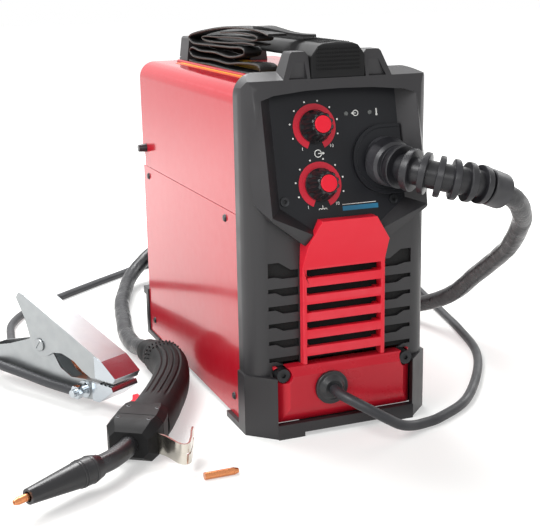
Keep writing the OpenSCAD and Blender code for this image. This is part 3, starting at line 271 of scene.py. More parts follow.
@dataclass(frozen=True)
class Finish:
    """One finish: a real material, how it was made, and what it shows."""

    name: str
    colour: str
    shade: str
    rough: float
    surface: Surface = Surface.MOULDED
    grain_mm: float = 1.0
    depth_mm: float = 0.02
    mottle_mm: float = 30.0
    mottle: float = 0.5
    rough_swing: float = 0.06
    metallic: float = 0.0
    coat: float = 0.0
    coat_rough: float = 0.1
    specular: float = 0.5
    worn: str = ""
    wear: float = 0.0

    def material(self) -> bpy.types.Material:
        """The node material of this finish, made once."""
        kept = bpy.data.materials.get(self.name)
        if kept is not None:
            return kept
        made = bpy.data.materials.new(self.name)
        tree = emptied(made)
        place = add(tree, "ShaderNodeTexCoord").outputs["Object"]
        mottle = speckle(tree, place, 1000 / self.mottle_mm)
        shading = reckoned(tree, mottle, self.mottle)
        colour = blended(tree, shading, linear(self.colour), linear(self.shade))
        if self.wear > 0:
            colour = self.rubbed(tree, place, colour)
        low = max(self.rough - self.rough_swing, LEAST_ROUGH)
        high = min(self.rough + self.rough_swing, 1.0)
        given = {
            "Base Color": colour,
            "Roughness": spanned(tree, mottle, MOTTLE_SPAN, (low, high)),
            "Metallic": self.metallic,
            "Coat Weight": self.coat,
            "Coat Roughness": self.coat_rough,
            "Specular IOR Level": self.specular,
        }
        height = self.relief(tree, place)
        if height is not None:
            bump = {"Height": height, "Distance": self.depth_mm * MM, "Strength": 1.0}
            given["Normal"] = add(tree, "ShaderNodeBump", bump).outputs["Normal"]
        shader = add(tree, "ShaderNodeBsdfPrincipled", given)
        add(tree, "ShaderNodeOutputMaterial", {"Surface": shader.outputs[0]})
        return made

    def rubbed(self, tree: Tree, place: Socket, colour: Socket) -> Socket:
        """Lightens rubbed edges.

        Args:
            tree: The material's tree.
            place: Object coordinates.
            colour: Colour before wear.

        Returns:
            Colour with the worn edges mixed in.
        """
        edge = add(tree, "ShaderNodeNewGeometry").outputs["Pointiness"]
        sharp = spanned(tree, edge, EDGE_SPAN, (0.0, self.wear))
        amount = reckoned(tree, sharp, speckle(tree, place, WEAR_PATCHES, 6.0))
        return blended(tree, amount, colour, linear(self.worn or self.shade))

    def relief(self, tree: Tree, place: Socket) -> Socket | None:
        """Height pattern of the surface.

        Args:
            tree: The material's tree.
            place: Object coordinates.

        Returns:
            Height between 0 and 1, or None where the surface is smooth.
        """
        scale = 1000 / self.grain_mm
        if self.surface is Surface.PLAIN:
            return None
        if self.surface is Surface.BRUSHED:
            stretch = {"Vector": place, "Scale": BRUSH_STRETCH}
            drawn = add(tree, "ShaderNodeMapping", stretch).outputs[0]
            return speckle(tree, drawn, scale, 3.0)
        if self.surface is Surface.WOVEN:
            threads = {"Vector": place, "Scale": scale / 6.283, "Distortion": 0.6}
            bands = [
                add(tree, "ShaderNodeTexWave", threads, bands_direction=way).outputs["Fac"]
                for way in ("X", "Y")
            ]
            return reckoned(tree, *bands)
        if self.surface is Surface.CREASED:
            return speckle(tree, place, scale, 5.0, 0.8)
        return speckle(tree, place, scale, 1.0 if self.surface is Surface.COATED else 4.0)


# Acrylonitrile butadiene styrene from a spark eroded tool: an even satin black
# that turns grey where it faces the light. Grain drawn at 1.1 mm to show.
BLACK_ABS = Finish(
    "abs_black_spark_eroded", "#232224", "#2b2a2c", 0.38, grain_mm=1.1, specular=0.45
)
# The same plastic from a smoother tool, on the leaning face: near black.
FACE_ABS = Finish(
    "abs_black_fine_moulded", "#121317", "#191a1e", 0.4, grain_mm=0.9, depth_mm=0.012,
    specular=0.25,
)
# Black plastic painted darker as shade, for parts in pockets and gaps: the switch housing and the
# joint strips by the nose.
SHADOW_ABS = Finish("abs_black_painted_shade", "#0c0c0d", "#111112", 0.7)
# Knob plastic, polished flutes: small bright streaks on near black.
KNOB_ABS = Finish(
    "nylon_black_polished_moulded", "#17181a", "#222326", 0.3, grain_mm=0.8,
    depth_mm=0.008, worn="#55565a", wear=0.4,
)
# Red plastic from a polished tool: saturated, a broad soft gloss.
RED_ABS = Finish(
    "abs_red_moulded", "#dc1a30", "#cf1529", 0.34, grain_mm=1.4, depth_mm=0.012,
    worn="#e0606c", wear=0.35, specular=0.3,
)
# The lower cover is the same red plastic, painted darker as shade because it is seen more in shade.
RED_ABS_SHADED = Finish(
    "abs_red_painted_shade", "#b81226", "#a50e20", 0.3, grain_mm=1.4, depth_mm=0.012,
    worn="#d8505e", wear=0.3, specular=0.35,
)
# Gloss polyester powder coat on sheet steel: strong clear reflections over a
# faint orange peel of about 2 mm.
RED_COAT = Finish(
    "steel_red_powder_coated", "#af0b20", "#a5091c", 0.16, Surface.COATED, grain_mm=2.2,
    depth_mm=0.006, mottle_mm=60, mottle=0.3, coat=0.24, coat_rough=0.06, specular=0.18,
    worn="#d86a74", wear=0.25, rough_swing=0.03,
)
# Matt black powder coat with a fine leather texture.
BLACK_COAT = Finish(
    "steel_black_powder_coated", "#1c1c1e", "#242426", 0.55, Surface.COATED,
    grain_mm=1.2, depth_mm=0.03,
)
# Screen ink on the face: flat crimson, slightly raised.
CRIMSON_INK = Finish(
    "ink_crimson_screen_printed", "#c3162f", "#b01028", 0.45, mottle_mm=8, depth_mm=0.005,
)
# White screen ink of marks and signs: flat, a little warm.
WHITE_INK = Finish("ink_white_screen_printed", "#e6e6e2", "#d4d4d0", 0.5, depth_mm=0.005)
# Teal screen ink of the stripe: flat and deep.
TEAL_INK = Finish("ink_teal_screen_printed", "#1b6f93", "#155a79", 0.45, depth_mm=0.005)
# Smoked lenses of the two lamps, unlit: grey with a clear gloss.
LENS = Finish("polycarbonate_smoked_moulded", "#4a4d4c", "#5b5e5c", 0.12, Surface.PLAIN, coat=0.5)
# Orange strip on the roof: a painted reflection along the roof's rolled edge.
ORANGE_REFLECTION = Finish("orange_painted_reflection", "#d4601a", "#c4521a", 0.35, Surface.PLAIN, mottle=0.3)
# Yellow field inside the orange strip: part of the same painted reflection.
YELLOW_REFLECTION = Finish("yellow_painted_reflection", "#d9a520", "#cf9a1a", 0.35, Surface.PLAIN)
# Soft black rubber of the relief boot: grey bloom on its ribs.
BOOT_RUBBER = Finish(
    "rubber_black_moulded", "#1a1a1d", "#27272b", 0.38, grain_mm=1.6,
    worn="#5a5a5e", wear=0.6, rough_swing=0.1, specular=0.4,
)
# Grip rubber, soft and matt.
GRIP_RUBBER = Finish(
    "rubber_grip_textured", "#0b0b0c", "#121213", 0.6, grain_mm=0.9, depth_mm=0.03,
    specular=0.22,
)
# Sleeve of coated cloth over the gun cable: creases with soft highlights.
CABLE_SLEEVE = Finish(
    "sleeve_coated_cloth", "#17171a", "#232327", 0.34, Surface.CREASED, grain_mm=9,
    depth_mm=0.7, mottle_mm=14, rough_swing=0.12, specular=0.35,
)
# Extruded cable rubber with a dusty skin.
CABLE_RUBBER = Finish(
    "rubber_black_extruded", "#212226", "#2b2c30", 0.48, grain_mm=1.4,
    mottle_mm=24, rough_swing=0.1,
)
# Woven nylon strap: threads drawn at 1.6 mm to show.
NYLON_STRAP = Finish(
    "nylon_black_woven", "#0a0a0b", "#131314", 0.6, Surface.WOVEN, grain_mm=1.6,
    depth_mm=0.15, mottle_mm=12, specular=0.3,
)
# Lighter, browner tubes along the strap's edges: a painted highlight where the edges catch the
# light.
STRAP_EDGE_SHEEN = Finish("strap_edge_painted_highlight", "#3a332f", "#4a413a", 0.6, Surface.PLAIN)
# Electro-zinc on sheet steel: cool, faintly streaked.
ZINC_SHEET = Finish(
    "steel_zinc_plated_sheet", "#a9acae", "#8f9395", 0.34, Surface.BRUSHED, grain_mm=1.2,
    depth_mm=0.006, metallic=1.0,
)
# Galvanised stampings of the clamp: pale soft grey with faint cloudy patches.
GALVANISED = Finish(
    "steel_galvanised_stamped", "#a4a7a8", "#8a8e91", 0.34, Surface.PLAIN, metallic=0.9,
    mottle_mm=12, mottle=0.6, rough_swing=0.04,
)
# Bright zinc of bolt, nuts and jaw pads.
BRIGHT_ZINC = Finish(
    "steel_bright_zinc_turned", "#b9bfc4", "#9aa1a8", 0.22, Surface.BRUSHED, grain_mm=0.8,
    depth_mm=0.008, metallic=1.0,
)
# Spring steel of the hook, nickel plated: warm and bright.
NICKEL_SPRING = Finish(
    "steel_nickel_plated_spring", "#cfcac0", "#b5afa4", 0.2, Surface.BRUSHED,
    depth_mm=0.006, metallic=1.0,
)
# Spring wire of the clamp: dark grey steel with an oily sheen.
OILED_SPRING = Finish(
    "steel_oiled_spring_wire", "#5c5d60", "#47484b", 0.35, Surface.PLAIN, metallic=1.0
)
# Turned steel of rolls and pin: bright, with fine turning lines.
TURNED_STEEL = Finish(
    "steel_turned", "#b4b4b6", "#9a9a9d", 0.26, Surface.BRUSHED, grain_mm=0.7,
    depth_mm=0.006, metallic=1.0,
)
# Blackened screws: near black, greyer where a driver has rubbed them.
BLACK_OXIDE = Finish(
    "steel_black_oxide", "#1d1e20", "#2a2b2d", 0.34, Surface.PLAIN, metallic=0.6,
    worn="#707276", wear=0.5,
)
# Drawn copper of the contact tips: pinkish orange with turned rings.
DRAWN_COPPER = Finish(
    "copper_drawn", "#d08a5e", "#b8734a", 0.26, Surface.BRUSHED,
    depth_mm=0.01, metallic=1.0, mottle_mm=5,
)
# Strands of the clamp's braid: warm copper, browner where it has dulled.
BRAID_COPPER = Finish(
    "copper_braid_strands", "#b96a43", "#8f4a2c", 0.36, Surface.PLAIN, metallic=1.0,
    mottle_mm=3,
)
# Phenolic nozzle: dry charcoal, slightly dusty.
PHENOLIC = Finish(
    "phenolic_black_moulded", "#1c1c1e", "#29292b", 0.3, grain_mm=1.4, depth_mm=0.015,
    worn="#5c5c5e", wear=0.5, rough_swing=0.1, specular=0.4,
)
# Brass of the wire guide: yellow, with fine turning lines.
BRASS_TURNED = Finish(
    "brass_turned", "#c9a04a", "#ac8538", 0.28, Surface.BRUSHED, grain_mm=0.8,
    depth_mm=0.006, metallic=1.0,
)
# Die cast pressure arm: dull even grey.
DIE_CAST = Finish("zinc_alloy_die_cast", "#8d9092", "#7b7e81", 0.42, grain_mm=1.2, metallic=0.9)
# Windings under varnish: dark red brown with a wet gloss.
VARNISHED = Finish(
    "winding_varnished_copper", "#7a3d1c", "#5b2a12", 0.3, Surface.BRUSHED, grain_mm=2.0,
    depth_mm=0.1, coat=0.4,
)
# Wound welding wire: grey with fine bright rows.
DRAWN_WIRE = Finish(
    "steel_drawn_wire", "#a39f97", "#87837b", 0.3, Surface.BRUSHED, grain_mm=0.9,
    depth_mm=0.05, metallic=1.0,
)
# Painted motor can: dark grey, slightly pebbled.
MOTOR_COAT = Finish("motor_can_painted", "#2f3033", "#3a3b3f", 0.4, Surface.COATED)
# Near-black sheets behind the slots and in the sill gap: painted shade for the dark inside of the
# case.
SHADE_SHEET = Finish("black_painted_shade_sheet", "#050505", "#0a0a0a", 0.9, grain_mm=2.0, depth_mm=0.4)


# ---- shapes ------------------------------------------------------------------
def linked(name: str, data: bpy.types.ID) -> bpy.types.Object:
    """A new object of the scene that holds some data."""
    made = bpy.data.objects.new(name, data)
    bpy.context.scene.collection.objects.link(made)
    return made


def meshed(shape: Shape, name: str = "carrier") -> bpy.types.Mesh:
    """Turns a shape into a mesh and frees it."""
    mesh = bpy.data.meshes.new(name)
    shape.to_mesh(mesh)
    shape.free()
    return mesh


def evaluated(piece: bpy.types.Object) -> bpy.types.Mesh:
    """The mesh that an object's modifiers make."""
    graph = bpy.context.evaluated_depsgraph_get()
    return bpy.data.meshes.new_from_object(piece.evaluated_get(graph))


def taken(helper: bpy.types.Object) -> Shape:
    """The shape that a helper object makes; the helper is removed."""
    mesh, data = evaluated(helper), helper.data
    shape = bmesh.new()
    shape.from_mesh(mesh)
    bpy.data.batch_remove([helper, data, mesh])
    return shape


def joined(shapes: Sequence[Shape]) -> Shape:
    """Puts several shapes into one and frees them."""
    whole = bmesh.new()
    for shape in shapes:
        mesh = meshed(shape)
        whole.from_mesh(mesh)
        bpy.data.meshes.remove(mesh)
    return whole


def moved(shape: Shape, place: Matrix) -> Shape:
    """Moves a shape and hands it back."""
    bmesh.ops.transform(shape, matrix=place, verts=shape.verts)
    return shape


def prism(outline: Sequence[Flat], low: float, high: float) -> Shape:
    """Extrudes an outline along z into a closed solid."""
    shape = bmesh.new()
    base, roof = ([shape.verts.new((*p, z)) for p in outline] for z in (low, high))
    shape.faces.new(base[::-1])
    shape.faces.new(roof)
    for i in range(len(outline)):
        j = (i + 1) % len(outline)
        shape.faces.new((base[i], base[j], roof[j], roof[i]))
    return shape


def loft(rows: Sequence[Sequence[Vector]], closed: bool = False) -> Shape:
    """Skins rings of equally many points.

    Args:
        rows: Rings in order.
        closed: Whether the last ring joins the first, instead of both being capped.

    Returns:
        A closed solid.
    """
    shape = bmesh.new()
    rings = [[shape.verts.new(p) for p in row] for row in rows]
    for a, b in [*zip(rings, rings[1:]), *([(rings[-1], rings[0])] if closed else [])]:
        for k in range(len(a)):
            j = (k + 1) % len(a)
            shape.faces.new((a[k], a[j], b[j], b[k]))
    if not closed:
        shape.faces.new(rings[0][::-1])
        shape.faces.new(rings[-1])
    return shape


def swept(line: Sequence[Vector], radius: Callable[[int, float], float], sides: int) -> Shape:
    """Sweeps a ring along a line.

    Args:
        line: Middle line.
        radius: Radius at a ring's number and an angle.
        sides: Sides round the tube.

    Returns:
        A closed tube.
    """
    rows = []
    for i, (_, side, up) in enumerate(frames_along(line)):
        angles = [2 * math.pi * k / sides for k in range(sides)]
        rows.append([
            line[i] + (side * math.cos(a) + up * math.sin(a)) * radius(i, a) for a in angles
        ])
    return loft(rows)


def turned(
    profile: Sequence[Flat], sides: int, cut: Callable[[float, float], float] | None = None,
    uncut: float = 0.0,
) -> Shape:
    """Turns a profile of radius and height about z.

    Args:
        profile: Radius and height, from the foot to the tip.
        sides: Points round it.
        cut: How much radius is lost at an angle and a height.
        uncut: Radius up to which nothing is cut.

    Returns:
        A closed solid.
    """
    rows = []
    for radius, high in profile:
        row = []
        for angle in (2 * math.pi * k / sides for k in range(sides)):
            loss = cut(angle, high) if cut is not None and radius > uncut else 0.0
            row.append(Vector((*polar(radius - loss, angle), high)))
        rows.append(row)
    return loft(rows)


def carved(base: Shape, tools: Sequence[tuple[Shape, str]]) -> Shape:
    """Joins solids to a solid or cuts them from it.

    Args:
        base: The solid that is worked on.
        tools: Other solids, each with UNION or DIFFERENCE.

    Returns:
        The worked solid.
    """
    carriers: list[bpy.types.Object] = []
    for number, shape in enumerate([base] + [tool for tool, _ in tools]):
        bmesh.ops.recalc_face_normals(shape, faces=shape.faces)
        carriers.append(linked(f"carrier_{number}", meshed(shape)))
    work, *others = carriers
    for carrier, (_, way) in zip(others, tools):
        step = work.modifiers.new("worked", "BOOLEAN")
        step.object, step.operation, step.solver = carrier, way, "EXACT"
    worked = taken(work)
    bpy.data.batch_remove([*others, *(carrier.data for carrier in others)])
    return worked


def ring_outline(radius: float, count: int = 32) -> list[Flat]:
    """Points of a circle."""
    return [polar(radius, 2 * math.pi / count * i) for i in range(count)]


def oblong(across: Flat, along: Flat) -> list[Flat]:
    """Outline of a rectangle between two places each way."""
    (x0, x1), (y0, y1) = across, along
    return [(x0, y0), (x1, y0), (x1, y1), (x0, y1)]


def rounded_plate(half_x: float, half_y: float, corner: float) -> list[Flat]:
    """Outline of a rectangle with rounded corners."""
    points: list[Flat] = []
    for quarter, (sx, sy) in enumerate(((1, 1), (-1, 1), (-1, -1), (1, -1))):
        for k in range(5):
            x, y = polar(corner, math.radians(quarter * 90 + k * 22.5))
            points.append((sx * (half_x - corner) + x, sy * (half_y - corner) + y))
    return points


def band(centre: Flat, inner: float, outer: float, span: Flat, low: float, high: float) -> Shape:
    """Part of a flat ring as a thin solid.

    Args:
        centre: Middle of the ring.
        inner: Inner radius.
        outer: Outer radius.
        span: First and last angle in degrees.
        low: Lower face.
        high: Upper face.

    Returns:
        The solid.
    """
    start, sweep = span[0], span[1] - span[0]
    whole = abs(sweep) > NEARLY_ROUND
    steps = max(6, round(abs(sweep) / BAND_STEP))
    corners = ((inner, low), (outer, low), (outer, high), (inner, high))
    rows = []
    for i in range(steps if whole else steps + 1):
        way = Vector((*polar(1.0, math.radians(start + sweep * i / steps)), 0))
        rows.append([Vector((*centre, 0)) + way * r + Vector((0, 0, z)) for r, z in corners])
    return loft(rows, closed=whole)


def stroke(start: Flat, end: Flat, width: float, low: float, high: float) -> Shape:
    """A straight printed line."""
    a, b = Vector(start), Vector(end)
    side = (b - a).normalized().orthogonal() * width / 2
    return prism([tuple(a - side), tuple(b - side), tuple(b + side), tuple(a + side)], low, high)


def lettering(text: str, size: float, centre: Flat, rise: float) -> Shape:
    """Raised figures, centred at a point."""
    curve = bpy.data.curves.new("figures", "FONT")
    curve.body, curve.size, curve.extrude = text, size, rise
    curve.align_x, curve.align_y = "CENTER", "CENTER"
    shape = taken(linked("figures", curve))
    bmesh.ops.remove_doubles(shape, verts=shape.verts, dist=1e-4)
    return moved(shape, Matrix.Translation((*centre, 0)))


# ---- pieces ----------------------------------------------------------------
@dataclass
class Maker:
    """Turns shapes into finished pieces that ride on their bodies."""

    crease_deg: float = 34.0
    flat_deg: float = 0.6

    def piece(
        self, name: str, shape: Shape, finish: Finish, stands_for: Sequence[str] = (),
        beside: str = "", outwards: bool = True,
    ) -> bpy.types.Object:
        """Puts a shape into the scene as one finished piece.

        Args:
            name: The piece's name.
            shape: Its shape, already in the model's metres.
            finish: Its finish.
            stands_for: Nodes that it replaces; the first gives its body.
            beside: Node whose body carries it, where it replaces none.
            outwards: Whether its faces are turned outwards first.

        Returns:
            The piece's object.
        """
        if outwards:
            bmesh.ops.recalc_face_normals(shape, faces=shape.faces)
        mesh = meshed(shape, name)
        mesh.materials.clear()
        mesh.materials.append(finish.material())
        mesh.polygons.foreach_set("use_smooth", [True] * len(mesh.polygons))
        mesh.set_sharp_from_angle(angle=math.radians(self.crease_deg))
        piece = linked(name, mesh)
        weights = piece.modifiers.new("flat faces keep flat light", "WEIGHTED_NORMAL")
        weights.keep_sharp = True
        piece.data = evaluated(piece)
        piece.modifiers.clear()
        bpy.data.meshes.remove(mesh)
        body = BODY_OF.get(stands_for[0] if stands_for else beside, ROOT)
        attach(piece, body)
        for node in stands_for:
            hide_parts(node)
        LOG.info("%s: %d faces on %s", name, len(piece.data.polygons), body)
        return piece

    def dressed(
        self, node: str, finish: Finish, bevel_mm: float = 0.0, steps: int = 2,
        cuts: Sequence[Shape] = (),
    ) -> None:
        """Copies a node's solid, cuts and rounds it, and finishes it.

        Args:
            node: Node that is copied and replaced.
            finish: Its finish.
            bevel_mm: Radius of the rounded edges, or 0.
            steps: Faces across a rounded edge.
            cuts: Solids that are cut away first.
        """
        shape = bmesh.new()
        shape.from_mesh(frame["nodes"][node].data)
        bmesh.ops.remove_doubles(shape, verts=shape.verts, dist=1e-6)
        if cuts:
            shape = carved(shape, [(cut, "DIFFERENCE") for cut in cuts])
        bmesh.ops.dissolve_limit(
            shape, angle_limit=math.radians(self.flat_deg), verts=shape.verts, edges=shape.edges
        )
        self.round_edges(shape, bevel_mm * MM, steps)
        self.piece(node + "_body", shape, finish, [node], outwards=False)

    def round_edges(self, shape: Shape, radius: float, steps: int) -> None:
        """Rounds every edge sharper than the crease angle."""
        if radius <= 0:
            return
        limit = math.radians(self.crease_deg)
        sharp = [
            e for e in shape.edges
            if len(e.link_faces) == 2 and e.calc_face_angle(0.0) > limit
        ]
        bmesh.ops.bevel(
            shape, geom=sharp, offset=radius, offset_type="OFFSET", segments=steps, profile=0.5,
            affect="EDGES", clamp_overlap=True,
        )

    def block(
        self, name: str, outline: Sequence[Flat], low: float, high: float, place: Matrix,
        finish: Finish, bevel_mm: float = 0.0, beside: str = "",
    ) -> None:
        """Extrudes an outline between two heights of a local frame."""
        shape = prism(outline, low, high)
        bmesh.ops.recalc_face_normals(shape, faces=shape.faces)
        self.round_edges(shape, bevel_mm, 2)
        self.piece(name, moved(shape, place), finish, beside=beside)


MAKE = Maker()


@dataclass(frozen=True)
class StudSize:
    """Size of one repeated small form, in millimetres."""

    long: float
    wide: float
    rise: float
    sides: int = 8


class Studs:
    """Small forms repeated over points by one Geometry Nodes tree."""

    TREE = "studs_on_points"
    NUMBERS = ("Length", "Width", "Rise")
    TIP = 0.32
    FOOT = 0.5

    def tree(self) -> Tree:
        """The node tree, built once."""
        kept = bpy.data.node_groups.get(self.TREE)
        if kept is not None:
            return kept
        made = bpy.data.node_groups.new(self.TREE, "GeometryNodeTree")
        for name, kind, way in (
            ("Points", "Geometry", "INPUT"), *((name, "Float", "INPUT") for name in self.NUMBERS),
            ("Sides", "Int", "INPUT"), ("Material", "Material", "INPUT"),
            ("Studs", "Geometry", "OUTPUT"),
        ):
            made.interface.new_socket(name, in_out=way, socket_type="NodeSocket" + kind)
        given = add(made, "NodeGroupInput").outputs
        cone = {
            "Vertices": given["Sides"],
            "Radius Top": self.TIP,
            "Radius Bottom": self.FOOT,
            "Depth": 1.0,
        }
        stud = add(made, "GeometryNodeMeshCone", cone).outputs["Mesh"]
        facing, along = (
            add(
                made, "GeometryNodeInputNamedAttribute", {"Name": name}, data_type="FLOAT_VECTOR"
            ).outputs[0]
            for name in ("facing", "along")
        )
        axes = {"Primary Axis": facing, "Secondary Axis": along}
        sizes = {"X": given["Length"], "Y": given["Width"], "Z": given["Rise"]}
        spots = {
            "Points": given["Points"],
            "Instance": stud,
            "Rotation": add(made, "FunctionNodeAxesToRotation", axes).outputs[0],
            "Scale": add(made, "ShaderNodeCombineXYZ", sizes).outputs[0],
        }
        spread = add(made, "GeometryNodeInstanceOnPoints", spots).outputs[0]
        real = add(made, "GeometryNodeRealizeInstances", {0: spread}).outputs[0]
        paint = {"Geometry": real, "Material": given["Material"]}
        painted = add(made, "GeometryNodeSetMaterial", paint).outputs[0]
        add(made, "NodeGroupOutput", {0: painted})
        return made

    def spread(
        self, name: str, spots: Sequence[tuple[Vector, Vector, Vector]], size: StudSize,
        finish: Finish, beside: str = "",
    ) -> None:
        """Repeats the stud over points, as one plain mesh.

        Args:
            name: The piece's name.
            spots: Place in metres, outward way and long way of each stud.
            size: Size of a stud.
            finish: Its finish.
            beside: Node whose body carries it.
        """
        mesh = bpy.data.meshes.new(name)
        mesh.from_pydata([spot[0] for spot in spots], [], [])
        for number, title in ((1, "facing"), (2, "along")):
            layer = mesh.attributes.new(title, "FLOAT_VECTOR", "POINT")
            layer.data.foreach_set("vector", [v for spot in spots for v in spot[number]])
        points = linked(name, mesh)
        repeat = points.modifiers.new("studs", "NODES")
        repeat.node_group = self.tree()
        sockets = {item.name: item.identifier for item in repeat.node_group.interface.items_tree}
        for title, value in zip(self.NUMBERS, (size.long, size.wide, size.rise)):
            repeat[sockets[title]] = value * MM
        repeat[sockets["Sides"]] = size.sides
        repeat[sockets["Material"]] = finish.material()
        MAKE.piece(name, taken(points), finish, beside=beside)


STUDS = Studs()


# ---- front of the case -------------------------------------------------------
@dataclass
class FrontMoulding:
    """Black front frame, red nose, lower cover, and near-black sheets of painted shade behind the
    slots and in the sill gap.
    """

    screen_half: float = 87.0
    screen_heights: Flat = (72.0, 178.0)
    screen_depth: float = 19.0
    screen_gauge: float = 1.5
    slot_half: float = 39.0
    slot_top: float = 163.0
    slot_pitch: float = 17.0
    slot_height: float = 8.0
    slot_depths: Flat = (-4.0, 30.0)
    slots: int = 6
    joint_span: Flat = (42.9, 44.2)
    joint_depths: Flat = (14.6, 15.3)
    joint_heights: Flat = (71.0, 176.0)
    sill_half: float = 71.0
    sill_depths: Flat = (6.1, 9.6)
    sill_heights: Flat = (11.2, 13.8)

    def build(self) -> None:
        """Makes the front."""
        MAKE.dressed("front_bezel", BLACK_ABS, 0.9, 3)
        MAKE.dressed("nose_grille", RED_ABS, 0.8, 3, self.slot_cuts())
        # The lower cover takes the red painted darker as shade.
        MAKE.dressed("lower_front_panel", RED_ABS_SHADED, 1.0, 3)
        low, high = self.screen_heights
        screen = rounded_plate(self.screen_half, (high - low) / 2, 4)
        place = placed(0, self.screen_depth, (high + low) / 2) @ UPRIGHT
        # Near-black sheet of painted shade behind the slots.
        MAKE.block("slot_shade_screen", screen, -self.screen_gauge, 0, place, SHADE_SHEET)
        # Near-black block of painted shade in the gap under the lower cover.
        sill = oblong((-self.sill_half, self.sill_half), self.sill_depths)
        MAKE.block("sill_shade_block", sill, *self.sill_heights, placed(0, 0, 0), SHADE_SHEET)
        self.joints()

    def joints(self) -> None:
        """Painted shade of the gap between the nose and the frame: thin black strips on both sides.
        """
        strip = oblong(self.joint_span, self.joint_depths)
        strips = [prism([(side * x, y) for x, y in strip], *self.joint_heights) for side in (-1, 1)]
        MAKE.piece("nose_gap_shade", moved(joined(strips), placed(0, 0, 0)), SHADOW_ABS)

    def slot_cuts(self) -> list[Shape]:
        """Solids that run the nose's slots out to its slender side rails."""
        outline = oblong((-self.slot_half, self.slot_half), self.slot_depths)
        tops = [self.slot_top - i * self.slot_pitch for i in range(self.slots)]
        return [moved(prism(outline, z - self.slot_height, z), placed(0, 0, 0)) for z in tops]


